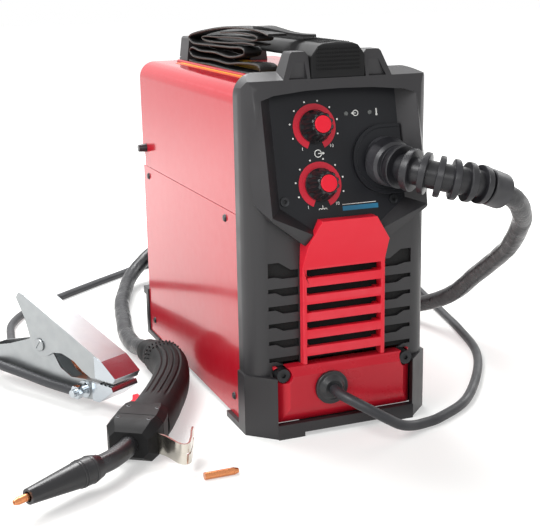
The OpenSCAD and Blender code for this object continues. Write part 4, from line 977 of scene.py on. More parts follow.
@dataclass
class ControlPanel:
    """Leaning face with two knobs, their scales, lamps and printed signs."""

    knob_x: float = -22.0
    knob_heights: Flat = (294.0, 241.5)
    scale_inner: float = 15.0
    scale_outer: float = 21.5
    scale_rise: float = 0.48
    scale_ends: tuple[Flat, ...] = ((224.0, 246.0), (-44.0, -67.0))
    mark_ring: float = 24.4
    mark_angles: Flat = (235.0, -50.0)
    marks: int = 10
    dot: float = 0.85
    numeral: float = 4.4
    flutes: int = 10
    flute_share: float = 0.3
    flute_bite: float = 1.5
    flute_foot: float = 4.2
    flute_run: float = 3.0
    knob_radius: float = 15.5
    knob_height: float = 22.0
    cap_seat: float = 9.0
    knob_sides: int = 240
    ink_foot: float = -0.05
    ink: float = 0.14
    lamp_height: float = 304.0
    stripe_span: Flat = (-1.4, 35.5)
    stripe_heights: Flat = (216.2, 220.4)
    rule_end: float = 33.5
    boss: Flat = (46.0, 260.0)
    bead_radius: float = 29.6
    bead_lift: float = 4.0
    bead_end: float = 62.5
    bead_half: float = 0.45

    def build(self) -> None:
        """Makes the control face and all that is on it."""
        MAKE.dressed("control_panel", FACE_ABS, 0.5)
        MAKE.dressed("dial_scales", CRIMSON_INK)
        MAKE.dressed("indicator_lights", LENS, 0.25)
        for name, z in zip(("voltage", "wire_speed"), self.knob_heights):
            self.knob(name, z)
        self.scale_marks()
        self.signs()
        self.stripe()
        self.bead()

    def printed(self, name: str, shapes: Sequence[Shape], finish: Finish) -> None:
        """Puts shapes drawn on the whole face, measured from its foot, into the scene."""
        MAKE.piece(name, moved(joined(shapes), on_panel(0, PANEL_FOOT)), finish)

    def knob(self, name: str, z: float) -> None:
        """One fluted knob with its red cap."""
        r, h = self.knob_radius, self.knob_height
        profile = [
            (2.9, -11.6), (2.9, 0.8), (r - 0.5, 0.8), (r, 1.3), (r, 3.6), (r - 0.5, 4.2),
            (r - 0.7, 5.2), (r - 1.0, 6.4), (r - 1.3, 7.4), (r - 1.9, 10.0), (r - 2.9, 14.0),
            (r - 3.9, 18.0), (r - 4.3, 19.6), (r - 4.7, 20.6), (r - 5.4, 21.2), (9.0, 21.2),
            (8.3, 20.7), (8.2, h - 2.2), (4.0, h - 2.2),
        ]

        def scallop(angle: float, high: float) -> float:
            """Depth of the flutes, running out at the skirt."""
            pitch = 2 * math.pi / self.flutes
            off = abs((angle + pitch / 2) % pitch - pitch / 2) / (pitch * self.flute_share)
            run = min(max((high - self.flute_foot) / self.flute_run, 0.0), 1.0)
            return self.flute_bite * math.sqrt(max(1.0 - off**2, 0.0)) * run

        shape = turned(profile, self.knob_sides, scallop, self.cap_seat)
        shape = moved(shape, on_panel(self.knob_x, z))
        MAKE.piece(name + "_knob_body", shape, KNOB_ABS, [name + "_knob"])
        MAKE.dressed(name + "_knob_cap", RED_ABS, 0.6, 3)

    def scale_marks(self) -> None:
        """Ends of the crimson rings, eight dots and two numerals at each knob."""
        ends: list[Shape] = []
        marks: list[Shape] = []
        first, last = self.mark_angles
        turn = (last - first) / (self.marks - 1)
        for z in self.knob_heights:
            place = Matrix.Translation((self.knob_x, up_face(z), 0))
            for span in self.scale_ends:
                ring = band((0, 0), self.scale_inner, self.scale_outer, span, 0, self.scale_rise)
                ends.append(moved(ring, place))
            for i in range(self.marks):
                spot = polar(self.mark_ring, math.radians(first + i * turn))
                if i in (0, self.marks - 1):
                    mark = lettering("10" if i else "1", self.numeral, spot, self.ink)
                else:
                    mark = self.dotted(spot, self.dot)
                marks.append(moved(mark, place))
        self.printed("dial_scale_ends", ends, CRIMSON_INK)
        self.printed("dial_marks", marks, WHITE_INK)

    def dotted(self, spot: Flat, radius: float) -> Shape:
        """A printed dot."""
        outline = [(spot[0] + x, spot[1] + y) for x, y in ring_outline(radius, 14)]
        return prism(outline, self.ink_foot, self.ink)

    def signs(self) -> None:
        """Printed signs: wire through a ring, pulses, and two lamp signs."""
        ink = (self.ink_foot, self.ink)
        x, y = self.knob_x + 1.2, up_face(self.knob_heights[0]) - 25.0
        shapes = [
            band((x, y), 3.0, 3.7, (0, 360), *ink),
            stroke((x, y), (x + 5.0, y), 0.8, *ink),
            prism([(x + 4.4, y - 1.4), (x + 6.9, y), (x + 4.4, y + 1.4)], *ink),
        ]
        x, y = self.knob_x + 0.6, up_face(self.knob_heights[1]) - 23.2
        shapes += [band((x + i * 2.7, y), 1.0, 1.55, (0, 180), *ink) for i in (-1, 0, 1)]
        shapes.append(stroke((x, y + 1.4), (x, y + 4.0), 0.5, *ink))
        y = up_face(self.lamp_height)
        shapes += [
            band((21.4, y), 2.2, 2.9, (0, 360), *ink),
            stroke((17.2, y), (21.6, y), 0.7, *ink),
            prism([(18.6, y - 1.3), (16.6, y), (18.6, y + 1.3)], *ink),
            stroke((43.2, y - 2.2), (43.2, y + 3.2), 1.2, *ink),
            self.dotted((43.2, y - 2.5), 1.1),
        ]
        self.printed("face_signs", shapes, WHITE_INK)

    def stripe(self) -> None:
        """Teal stripe above the nose, with a fine white rule over it."""
        ink = (self.ink_foot, self.ink)
        low, high = (up_face(z) for z in self.stripe_heights)
        self.printed("face_stripe", [prism(oblong(self.stripe_span, (low, high)), *ink)], TEAL_INK)
        start, over = self.stripe_span[0], high + 1.6
        rule = stroke((start, over), (self.rule_end, over), 0.5, *ink)
        self.printed("face_rule", [rule], WHITE_INK)

    def bead(self) -> None:
        """Fine raised bead that follows the edge of the round boss."""
        x, y, r = self.boss[0], up_face(self.boss[1]), self.bead_radius
        turns = (polar(r, math.radians(90 + 5 * i)) for i in range(37))
        line = [(self.bead_end, y + r), *((x + a, y + b) for a, b in turns), (self.bead_end, y - r)]
        place = on_panel(0, PANEL_FOOT)
        run = [place @ Vector((*p, self.bead_lift)) for p in line]
        MAKE.piece("boss_bead", swept(run, lambda i, angle: self.bead_half * MM, 8), FACE_ABS)


BOOT_KNOTS: list[Point] = [
    (46, -6, 258), (51, -24, 256), (63, -38, 253), (79, -48, 249), (97, -53, 245),
    (116, -53, 240), (133, -50, 233),
]


@dataclass
class CableExits:
    """Collar, ribbed relief and lower gland that the two cables leave by."""

    step: float = 19.0
    knot_steps: int = 24
    reach_each_way: float = 1.5
    core: float = 13.0
    rings: int = 7
    ring_start: float = 6.0
    ring_pitch: float = 13.2
    ring_width: float = 5.5
    ring_radius: float = 20.5
    ring_taper: float = 0.4
    cap_start: float = 93.5
    length: float = 114.0
    seat: float = 20.0
    bore: float = 10.3
    sides: int = 56

    def build(self) -> None:
        """Makes the three exits."""
        MAKE.dressed("gun_cable_nut", BOOT_RUBBER, 0.9, 3)
        MAKE.dressed("work_cable_gland", KNOB_ABS, 0.7, 3)
        self.relief()

    def spot(self, reach: float) -> Vector:
        """Point of the relief's middle line, in drawing millimetres."""
        line = smooth_line(BOOT_KNOTS, self.knot_steps)
        place = min(max(reach / self.step, 0.0), len(BOOT_KNOTS) - 1.0) * self.knot_steps
        low = min(int(place), len(line) - 2)
        return line[low].lerp(line[low + 1], place - low)

    def profile(self) -> list[Flat]:
        """Way along the relief and radius: discs on a core, then a smooth cap with a bore."""
        core, cap, far = self.core, self.cap_start, self.length
        profile = [(0.0, 17.8), (0.6, 18.5), (2.6, 18.4), (3.2, 17.6), (3.4, core)]
        for i in range(self.rings):
            s, w = self.ring_start + i * self.ring_pitch, self.ring_width
            r = self.ring_radius - self.ring_taper * i
            profile += [
                (s, core), (s + 0.1, r - 0.9), (s + 0.5, r - 0.2), (s + 1.1, r),
                (s + w - 1.1, r), (s + w - 0.5, r - 0.2), (s + w - 0.1, r - 0.9), (s + w, core),
            ]
        return profile + [
            (cap, core), (cap + 0.1, 16.3), (cap + 0.9, 17.2), (far - 1.8, 17.0),
            (far - 0.7, 16.4), (far, 15.0), (far, self.bore), (far - self.seat, self.bore),
        ]

    def relief(self) -> None:
        """Thick discs on a thin core, then a smooth cap that grips the cable."""
        rows = []
        side, near = Vector((0, 0, 1)), self.reach_each_way
        angles = [2 * math.pi * k / self.sides for k in range(self.sides)]
        for reach, radius in self.profile():
            here = self.spot(reach)
            ahead = (self.spot(reach + near) - self.spot(reach - near)).normalized()
            up = (side - ahead * side.dot(ahead)).normalized()
            across = ahead.cross(up)
            rows.append([
                at(*(here + (across * math.cos(a) + up * math.sin(a)) * radius)) for a in angles
            ])
        MAKE.piece("gun_cable_boot_body", loft(rows), BOOT_RUBBER, ["gun_cable_boot"])


# ---- studio ----------------------------------------------------------------
@dataclass
class Studio:
    """Pale floor, soft lamps and the camera."""

    camera_at: Point = (-347.55, -1093.5, 434.8)
    camera_towards: Point = (18.21, -158.2, 175.09)
    lens_mm: float = 75.64
    roll_deg: float = -1.0
    floor_half: float = 9.0
    floor_colour: str = "#c6c6c4"
    glow: Flat = (0.45, 1.0)
    glow_reach: Flat = (0.35, 1.3)
    surround: Flat = (0.16, 1.0)
    lamps: tuple[tuple[str, Point, float, Flat, float], ...] = (
        ("key", (-1.7, -0.65, 1.75), 0.2, (1.2, 1.0), 44.0),
        ("front", (-0.6, -2.3, 1.3), 0.15, (1.2, 0.9), 16.0),
        ("top", (-0.15, 1.15, 1.85), 0.3, (1.6, 1.1), 72.0),
        ("rim", (1.9, 0.9, 1.3), 0.2, (1.2, 0.9), 12.0),
    )

    def build(self) -> None:
        """Sets up the floor, the world, the lamps and the camera."""
        self.floor()
        self.world()
        for name, place, aim, size, watts in self.lamps:
            self.lamp(name, place, aim, size, watts)
        self.camera()
        bpy.context.scene.view_settings.view_transform = "Standard"

    def floor(self) -> None:
        """Lays the floor that keeps the shadow."""
        shape = bmesh.new()
        ends = (-self.floor_half, self.floor_half)
        shape.faces.new([shape.verts.new((x, y, 0)) for x, y in oblong(ends, ends)])
        made = bpy.data.materials.new("paper_matt_seamless")
        tree = emptied(made)
        place = add(tree, "ShaderNodeTexCoord").outputs["Object"]
        away = add(tree, "ShaderNodeVectorMath", {0: place}, operation="LENGTH").outputs["Value"]
        paper = {
            "Base Color": linear(self.floor_colour),
            "Roughness": 0.9,
            "Specular IOR Level": 0.1,
            "Emission Color": (1, 1, 1, 1),
            "Emission Strength": spanned(tree, away, self.glow_reach, self.glow),
        }
        shader = add(tree, "ShaderNodeBsdfPrincipled", paper)
        add(tree, "ShaderNodeOutputMaterial", {"Surface": shader.outputs[0]})
        mesh = meshed(shape, "studio_floor")
        mesh.materials.append(made)
        linked("studio_floor", mesh)

    def world(self) -> None:
        """A white surround for the eye and for gloss, and a soft one for light."""
        world = bpy.data.worlds.new("studio_surround")
        bpy.context.scene.world = world
        tree = emptied(world)
        path = add(tree, "ShaderNodeLightPath").outputs
        seen = reckoned(tree, path["Is Camera Ray"], path["Is Glossy Ray"], "MAXIMUM")
        white = reckoned(tree, seen, path["Is Transmission Ray"], "MAXIMUM")
        strength = spanned(tree, white, (0.0, 1.0), self.surround)
        sky = add(tree, "ShaderNodeBackground", {"Color": (1, 1, 1, 1), "Strength": strength})
        add(tree, "ShaderNodeOutputWorld", {"Surface": sky.outputs[0]})

    def lamp(self, name: str, place: Point, aim: float, size: Flat, watts: float) -> None:
        """Hangs one soft rectangular lamp that looks at a height of the middle."""
        data = bpy.data.lights.new(name, "AREA")
        data.shape = "RECTANGLE"
        data.size, data.size_y = size
        data.energy = watts
        lamp = linked(name, data)
        lamp.location = place
        way = Vector((0, 0, aim)) - Vector(place)
        lamp.rotation_euler = way.to_track_quat("-Z", "Y").to_euler()

    def camera(self) -> None:
        """Sets the camera, leaning by the roll angle."""
        data = bpy.data.cameras.new("camera")
        data.lens = self.lens_mm
        data.sensor_width = 36.0
        data.sensor_fit = "HORIZONTAL"
        data.clip_start, data.clip_end = 0.05, 50.0
        eye, target = Vector(self.camera_at), Vector(self.camera_towards)
        ahead = (target - eye).normalized()
        right = ahead.cross(Vector((0, 0, 1))).normalized()
        up = right.cross(ahead)
        roll = math.radians(self.roll_deg)
        tilted_right = right * math.cos(roll) + up * math.sin(roll)
        tilted_up = up * math.cos(roll) - right * math.sin(roll)
        turn = Matrix((tilted_right, tilted_up, -ahead)).transposed().to_4x4()
        camera = linked("camera", data)
        camera.matrix_world = Matrix.Translation(eye * MM) @ turn
        bpy.context.scene.camera = camera


# ---- cables ----------------------------------------------------------------
@dataclass(frozen=True)
class Coil:
    """Turns of a cable lying on the floor, in drawing millimetres."""

    centre: Flat
    radius: float
    turns: float
    rise: float
    cable_radius: float
    steps: int

    def end(self) -> float:
        """Height of the middle line at the end of the last turn."""
        return self.cable_radius + self.turns * self.rise

    def between(self, front: Sequence[Point], rear: Sequence[Point]) -> list[Vector]:
        """Middle line of a whole cable: a front stretch, the coil, a rear stretch."""
        (x, y), line = self.centre, smooth_line(front, 6)[:-1]
        for i in range(math.ceil(self.turns * self.steps)):
            angle = 2 * math.pi * min(i / self.steps, self.turns)
            a, b = polar(self.radius, angle)
            rise = angle / (2 * math.pi) * self.rise
            line.append(Vector((x + a, y + b, self.cable_radius + rise)))
        return line + smooth_line([(x, y + self.radius, self.end()), *rear], 6)


@dataclass
class Cables:
    """The gun's sheathed cable and the work cable, each one closed tube."""

    gun: Coil = Coil((75.0, 515.0), 110.0, 2.25, 20.8, 10.0, 48)
    work: Coil = Coil((262.0, 520.0), 55.0, 4.25, 10.6, 5.0, 40)
    seat: float = 20.0
    sleeve_slack: float = 0.5
    crease_step: float = 0.22
    crease_scale: float = 1.7
    stiff_from: float = 8.0
    gun_sides: int = 28
    work_sides: int = 20

    def gun_line(self) -> list[Vector]:
        """Middle line of the gun cable, in drawing millimetres."""
        boot = smooth_line(BOOT_KNOTS, 12)
        out = (boot[-1] - boot[-2]).normalized()
        end = self.gun.end()
        front = [
            boot[-1] - out * self.seat, BOOT_KNOTS[-1], (152.8, -41.8, 223),
            (169.4, -28.5, 210.7), (187.7, -5.3, 192.7), (203, 26, 170), (216.5, 60, 147),
            (226.5, 104, 120.5), (233, 152, 91), (236, 198, 60), (232, 245, 36), (222, 292, 19),
            (208, 340, 13), (196, 390, 10.7), (188, 450, 10.3), (185, 500, 10.1), (185, 515, 10),
        ]
        rear = [
            (45, 628, end + 0.2), (14, 632, 52), (-18, 626, 39), (-46, 606, 25),
            (-68, 575, 15.5), (-84, 535, 11.5), (-104, 475, 10.4), (-118, 410, 10.2),
            (-130, 350, 10.8), (-134, 300, 13.5), (-132, 268, 19), (-130, 256, 20),
        ]
        return self.gun.between(front, rear)

    def beside_clamp(self, along: float, high: float, out: float) -> Point:
        """A point beside the clamp: along it, its height, and how far out."""
        turn = math.radians(CLAMP_TURN)
        return (
            CLAMP_AT[0] + along * math.cos(turn) + out * math.sin(turn),
            CLAMP_AT[1] + along * math.sin(turn) - out * math.cos(turn),
            high,
        )

    def work_line(self) -> list[Vector]:
        """Middle line of the work cable, in drawing millimetres."""
        end = self.work.end()
        front = [
            (-18, -8, 47), (-18, -20, 46.5), (-11, -34, 43), (3, -43, 35), (20, -45, 24),
            (36, -41, 14), (52, -35, 8), (70, -29, 5.7), (92, -21, 5.3), (138, 9, 5.1),
            (192, 75, 5.1), (230, 140, 5.1), (253, 213, 5.1), (268, 275, 5.1), (283, 343, 5.1),
            (301, 420, 5.1), (315, 485, 5.1), (317, 520, 5),
        ]
        rear = [
            (238, 578, end), (207, 594, 38), (170, 632, 17), (120, 670, 7.5), (60, 688, 5.4),
            (-12, 685, 5), (-70, 645, 5), (-134, 595, 5), (-190, 548, 5), (-228, 508, 5),
            (-250, 464, 5.1), (-258, 420, 5.6), (-264, 375, 7.6), (-280, 332, 12),
            (-297, 292, 20), self.beside_clamp(20, 24, 22), self.beside_clamp(60, 22, 21.5),
            self.beside_clamp(100, 20, 21.5), self.beside_clamp(138, 20, 21.5),
        ]
        return self.work.between(front, rear)

    def laid(
        self, name: str, line_mm: list[Vector], radius: float, sides: int, finish: Finish,
        slack: float,
    ) -> None:
        """Args:
            name: The cable's name, which starts its nodes' names.
            line_mm: Its middle line in drawing millimetres.
            radius: Its radius in millimetres.
            sides: Sides round it.
            finish: Its finish.
            slack: How far its skin wanders from round, in millimetres.
        """
        line = [at(*p) for p in line_mm]

        def reach(i: int, angle: float) -> float:
            """Radius of the skin, a little uneven where it is loose."""
            if slack == 0:
                return radius * MM
            spot = Vector((*polar(1.0, angle), i * self.crease_step)) * self.crease_scale
            return (radius + slack * (noise.noise(spot) - 0.5)) * MM

        nodes = [f"{name}_{stretch}" for stretch in ("front", "coil", "rear")]
        cable = MAKE.piece(name, swept(line, reach, sides), finish, nodes)
        LOG.info("%s: %.2f m", name, line_length(line))

    def build(self) -> None:
        """Lays both cables."""
        gun, work = self.gun.cable_radius, self.work.cable_radius
        self.laid(
            "gun_cable", self.gun_line(), gun, self.gun_sides, CABLE_SLEEVE, self.sleeve_slack
        )
        self.laid("work_cable", self.work_line(), work, self.work_sides, CABLE_RUBBER, 0.0)


# ---- case, grip and strap ----------------------------------------------------
@dataclass
class CaseShell:
    """Coated steel case, its door and latch, screws, base and rear parts, and a painted reflection
    on its roof.
    """

    reflection_across: Flat = (-62.0, 26.0)
    reflection_along: Flat = (60.0, 330.0)
    reflection_gauge: float = 0.3
    field_gauge: float = 0.12
    edge: float = 5.0

    def build(self) -> None:
        """Makes the case."""
        for node, finish, bevel, steps in (
            ("case_wrapper", RED_COAT, 0.35, 2), ("lower_side_panel", RED_COAT, 0.35, 2),
            ("side_door", RED_COAT, 0.35, 2), ("door_latch_knob", KNOB_ABS, 0.4, 2),
            ("case_screws", BLACK_OXIDE, 0.3, 2), ("base_pan", BLACK_COAT, 0.2, 2),
            ("rear_panel", BLACK_COAT, 0.25, 2), ("rear_foot", BLACK_ABS, 0.9, 3),
        ):
            MAKE.dressed(node, finish, bevel, steps)
        self.roof_reflection()

    def roof_reflection(self) -> None:
        """Painted reflection on the roof under the strap: an orange strip round a yellow field."""
        (x0, x1), (y0, y1) = self.reflection_across, self.reflection_along
        half_x, half_y = (x1 - x0) / 2, (y1 - y0) / 2
        place = placed((x0 + x1) / 2, (y0 + y1) / 2, ROOF)
        low, high = self.reflection_gauge, self.reflection_gauge + self.field_gauge
        MAKE.block("roof_reflection_edge", rounded_plate(half_x, half_y, 3), 0, low, place, ORANGE_REFLECTION)
        field = rounded_plate(half_x - self.edge, half_y - self.edge, 2)
        MAKE.block("roof_reflection_field", field, low, high, place, YELLOW_REFLECTION)


@dataclass
class GripAndStrap:
    """Studded rubber grip between its towers, and the folded strap beside it."""

    grip_front: float = 20.0
    grip_top: float = 371.0
    stud: StudSize = StudSize(1.3, 1.9, 0.8)
    stud_pitch: float = 1.75
    row_pitch: float = 3.6
    columns: int = 25
    front_rows: int = 6
    front_start: float = 6.0
    top_rows: int = 52
    top_start: float = 8.0
    top_half: float = 15.0
    strap_x: float = -38.5
    sway: float = 0.7
    sway_scale: Flat = (0.02, 0.15)
    lip: float = 0.6
    edge_half: float = 0.42
    strap_half: Flat = (9.5, 1.2)
    inner_half: Flat = (8.6, 1.0)
    tail_half: Flat = (9.4, 1.1)
    line_steps: int = 7
    folds: tuple[Flat, ...] = (
        (320, 3), (295, 2), (250, 3), (200, 2), (150, 2), (110, 3), (96, 7), (106, 12),
        (150, 11), (190, 8), (235, 9), (285, 8), (308, 9), (319, 14), (308, 18), (280, 16),
        (230, 17), (190, 15), (160, 17), (140, 21), (146, 26), (185, 25), (240, 24), (290, 23),
        (309, 24), (319, 29), (308, 33), (270, 38), (205, 44), (150, 46), (100, 45), (74, 42),
    )
    inner_folds: tuple[Flat, ...] = (
        (112, 31), (140, 31.5), (180, 29.5), (225, 28), (262, 28.2), (274, 30.5), (262, 32.8),
        (225, 33.5), (190, 35), (150, 35.8), (116, 35.2), (104, 37.4), (114, 40), (150, 41),
        (188, 40), (214, 38.6),
    )
    tail: tuple[Point, ...] = (
        (-38.5, 114, 382), (-36.5, 102, 381.8), (-30, 91, 379.6), (-21, 82, 376.8),
        (-11, 75, 375), (0, 70, 374.4),
    )

    def build(self) -> None:
        """Makes the grip and the strap."""
        MAKE.dressed("carrying_grip", GRIP_RUBBER, 1.6, 4)
        MAKE.dressed("rear_grip_mount", BLACK_ABS, 0.8)
        self.grip_studs()
        self.webbing("shoulder_strap_body", self.folds, *self.strap_half, ["shoulder_strap"])
        self.webbing("shoulder_strap_inner", self.inner_folds, *self.inner_half, [])
        self.strap_tail()

    def grip_studs(self) -> None:
        """Fine rows of studs on the front and the top of the grip."""
        spots: list[tuple[Vector, Vector, Vector]] = []
        across, ahead, up = Vector((1, 0, 0)), Vector((0, -1, 0)), Vector((0, 0, 1))
        for i in range(self.columns):
            x = (i - (self.columns - 1) / 2) * self.stud_pitch
            for j in range(self.front_rows):
                z = self.grip_top - self.front_start - j * self.row_pitch
                spots.append((at(x, self.grip_front, z), ahead, across))
            if abs(x) > self.top_half:
                continue
            for j in range(self.top_rows):
                y = self.grip_front + self.top_start + j * self.row_pitch
                spots.append((at(x, y, self.grip_top - abs(x) / self.top_half), up, across))
        STUDS.spread("grip_studs", spots, self.stud, GRIP_RUBBER)

    def webbing(
        self, name: str, knots: Sequence[Flat], wide: float, thick: float,
        stands_for: Sequence[str],
    ) -> None:
        """Lays a flat strap to and fro, with lighter tubes along its two edges as painted
        highlight.

        Args:
            name: The piece's name.
            knots: Depth and height above the roof of the fold line.
            wide: Half the strap's width.
            thick: Half its thickness.
            stands_for: Nodes that it replaces.
        """
        line = smooth_line([(y, z, 0.0) for y, z in knots], self.line_steps)
        flank, lip = wide - self.lip, thick * 0.5
        section = (
            (-wide, -lip), (-flank, -thick), (flank, -thick), (wide, -lip), (wide, lip),
            (flank, thick), (-flank, thick), (-wide, lip),
        )
        rows = []
        edges: list[list[Vector]] = [[], []]
        slow, fast = self.sway_scale
        for i, (y, z, _) in enumerate(line):
            ahead = heading(line, i)
            middle = self.strap_x + self.sway * noise.noise(Vector((y * slow, z * fast, 3.0)))
            rows.append([
                at(middle + side, y - ahead.y * lift, ROOF + z + ahead.x * lift)
                for side, lift in section
            ])
            for edge, side in zip(edges, (-wide, wide)):
                edge.append(at(middle + side, y, ROOF + z))
        MAKE.piece(name, loft(rows), NYLON_STRAP, stands_for)
        # Lighter tubes along both edges paint the highlight of the lit edges.
        edge_sheen = [swept(edge, lambda i, angle: self.edge_half * MM, 6) for edge in edges]
        MAKE.piece(name.replace("_body", "") + "_edges", joined(edge_sheen), STRAP_EDGE_SHEEN)

    def strap_tail(self) -> None:
        """Free end of the strap, laid across the grip."""
        wide, thick = self.tail_half
        line = smooth_line(self.tail, self.line_steps)
        rows = []
        for i, spot in enumerate(line):
            ahead = line[min(i + 1, len(line) - 1)] - line[max(i - 1, 0)]
            side = Vector((ahead.y, -ahead.x, 0)).normalized() * wide
            rows.append([
                at(*(spot + side * share + Vector((0, 0, lift))))
                for share, lift in oblong((-1, 1), (-thick, thick))
            ])
        MAKE.piece("shoulder_strap_tail", loft(rows), NYLON_STRAP)


def insides() -> None:
    """Makes the parts behind the door and the rear panel."""
    for node, finish, bevel in (
        # The switch housing takes SHADOW_ABS, black painted darker as shade.
        ("power_switch_housing", SHADOW_ABS, 0.5), ("power_rocker", RED_ABS, 0.6),
        ("mains_gland", KNOB_ABS, 0.5), ("feed_shelf", ZINC_SHEET, 0.25),
        ("feed_plate", ZINC_SHEET, 0.25), ("spool_hub", KNOB_ABS, 0.5),
        ("wire_spool", KNOB_ABS, 0.6), ("welding_wire", DRAWN_WIRE, 0.5),
        ("drive_motor", MOTOR_COAT, 0.6), ("drive_roll", TURNED_STEEL, 0.3),
        ("idler_roll", TURNED_STEEL, 0.3), ("pressure_arm", DIE_CAST, 0.5),
        ("tension_knob", KNOB_ABS, 0.5), ("wire_guide", BRASS_TURNED, 0.3),
        ("transformer", VARNISHED, 0.6), ("fan_frame", BLACK_ABS, 0.5),
        ("fan_rotor", BLACK_ABS, 0.35),
    ):
        MAKE.dressed(node, finish, bevel)


# ---- on the floor --------------------------------------------------------------
@dataclass
class Gun:
    """Welding gun lying on its side: grooved handle, faceted block, nozzle, hook."""

    level: float = 20.0
    stations: tuple[tuple[float, float, float, float], ...] = (
        (-130, 256, 13.0, 12.5), (-127, 244, 15, 14), (-124, 234, 17.6, 16),
        (-122, 222, 19.6, 18), (-122, 198, 19.7, 19), (-126, 175, 19.2, 19),
        (-133, 152, 19.2, 19), (-143, 128, 19.7, 19.5), (-155, 104, 20.2, 19.9),
        (-168, 80, 21.2, 19.9), (-181, 58, 22.2, 19.9), (-189, 46, 22.6, 19.9),
    )
    sections: tuple[tuple[float, float, float, float, float], ...] = (
        (-4, -23, 19, 19.2, 6), (4, -26, 22, 19.9, 6.5), (14, -26, 24, 19.9, 7),
        (28, -25.5, 25.4, 19.9, 7), (28.4, -24.8, 24.7, 19.2, 7), (28.8, -24.8, 24.7, 19.2, 7),
        (29.2, -25.5, 25.4, 19.9, 7), (42, -25, 25, 19.8, 7.5), (50, -20.5, 21, 14.5, 6.5),
        (53.8, -18.5, 18.5, 12, 5.5),
    )
    block_at: tuple[float, float, float] = (-188.0, 48.0, 236.0)
    trigger_at: tuple[float, float, float] = (-168.0, 80.0, 60.0)
    pocket: tuple[Flat, Flat] = ((-26.0, 24.0), (4.0, 34.0))
    pocket_half: float = 7.5
    groove_angles: tuple[float, ...] = (62.0, 81.0, 100.0, 119.0)
    groove_half: float = 3.4
    groove_depth: float = 1.3
    groove_span: Flat = (0.27, 0.86)
    groove_fade: float = 0.04
    steps: int = 6
    handle_sides: int = 180
    squareness: float = 2.5
    socket: Flat = (9.1, 20.0)
    socket_at: float = 49.0
    pin: Flat = (1.5, 9.0)
    pin_at: Flat = (-18.0, 14.0)
    screw_level: float = 19.2
    screw_profile: tuple[Flat, ...] = ((2.4, 0), (2.4, 0.9), (1.9, 1.1), (1.0, 1.1), (0.9, 0.3))
    bump: StudSize = StudSize(3.4, 2.4, 1.6)
    bump_rings: tuple[tuple[int, float], ...] = ((17, 0.0), (20, 6.0))
    bump_arc: Flat = (8.0, 164.0)
    bumps_each: int = 14
    screws: tuple[Flat, ...] = ((10, -14), (10, 14), (38, -15), (38, 15))
    nozzle_at: tuple[float, float, float] = (-254.0, -30.0, 208.0)
    nozzle_rings: tuple[Flat, ...] = ((9.5, 12.45), (19.6, 12.3), (22.4, 12.0))
    hook_bends: tuple[Flat, ...] = (
        (-193, 2), (-190.5, -3), (-186.5, -10), (-183.5, -20), (-181, -29), (-177, -34.2),
        (-172, -33), (-168.5, -26), (-165, -18), (-161.5, -8), (-157.5, 1),
    )
    hook_strips: tuple[tuple[float, float, float], ...] = (
        (9.2, 18.0, 1.0), (20.0, 28.8, 1.0), (17.9, 20.1, 0.55),
    )
    hook_half: float = 0.95

    def build(self) -> None:
        """Makes the gun."""
        self.handle()
        self.bumps()
        self.nozzle()
        MAKE.dressed("gun_trigger", RED_ABS, 0.8)
        MAKE.dressed("gun_contact_tip", DRAWN_COPPER, 0.25)
        self.hook()

    def lying(self, spot: tuple[float, float, float]) -> Matrix:
        """Frame at the gun's level: place across, place along, and turn in degrees."""
        return placed(spot[0], spot[1], self.level, spot[2])

    def middle(self) -> list[Vector]:
        """Middle line of the handle, in metres."""
        centres = [(x, y, self.level) for x, y, _, _ in self.stations]
        return [at(*p) for p in smooth_line(centres, self.steps)]

    def section(self, i: int) -> tuple[float, float, float]:
        """Half width, half height and share of the way at a ring of the handle."""
        step = i / self.steps
        k = min(int(step), len(self.stations) - 2)
        t = step - k
        t = t * t * (3 - 2 * t)
        a, b = self.stations[k], self.stations[k + 1]
        return a[2] + (b[2] - a[2]) * t, a[3] + (b[3] - a[3]) * t, step / (len(self.stations) - 1)

    def smooth_reach(self, i: int, angle: float) -> float:
        """Radius of the handle without its grooves, in millimetres."""
        wide, high, _ = self.section(i)
        power = self.squareness
        c, s = abs(math.cos(angle) / wide), abs(math.sin(angle) / high)
        return (c**power + s**power) ** (-1 / power)

    def reach(self, i: int, angle: float) -> float:
        """Radius of the handle in metres, grooved along its upper side."""
        radius = self.smooth_reach(i, angle)
        way = self.section(i)[2]
        (start, end), fade = self.groove_span, self.groove_fade
        run = min(max((way - start) / fade, 0.0), 1.0) * min(max((end - way) / fade, 0.0), 1.0)
        for groove in self.groove_angles:
            off = abs(math.degrees(angle) - groove) / self.groove_half
            if off < 1:
                radius -= self.groove_depth * math.sqrt(1 - off * off) * run
        return radius * MM

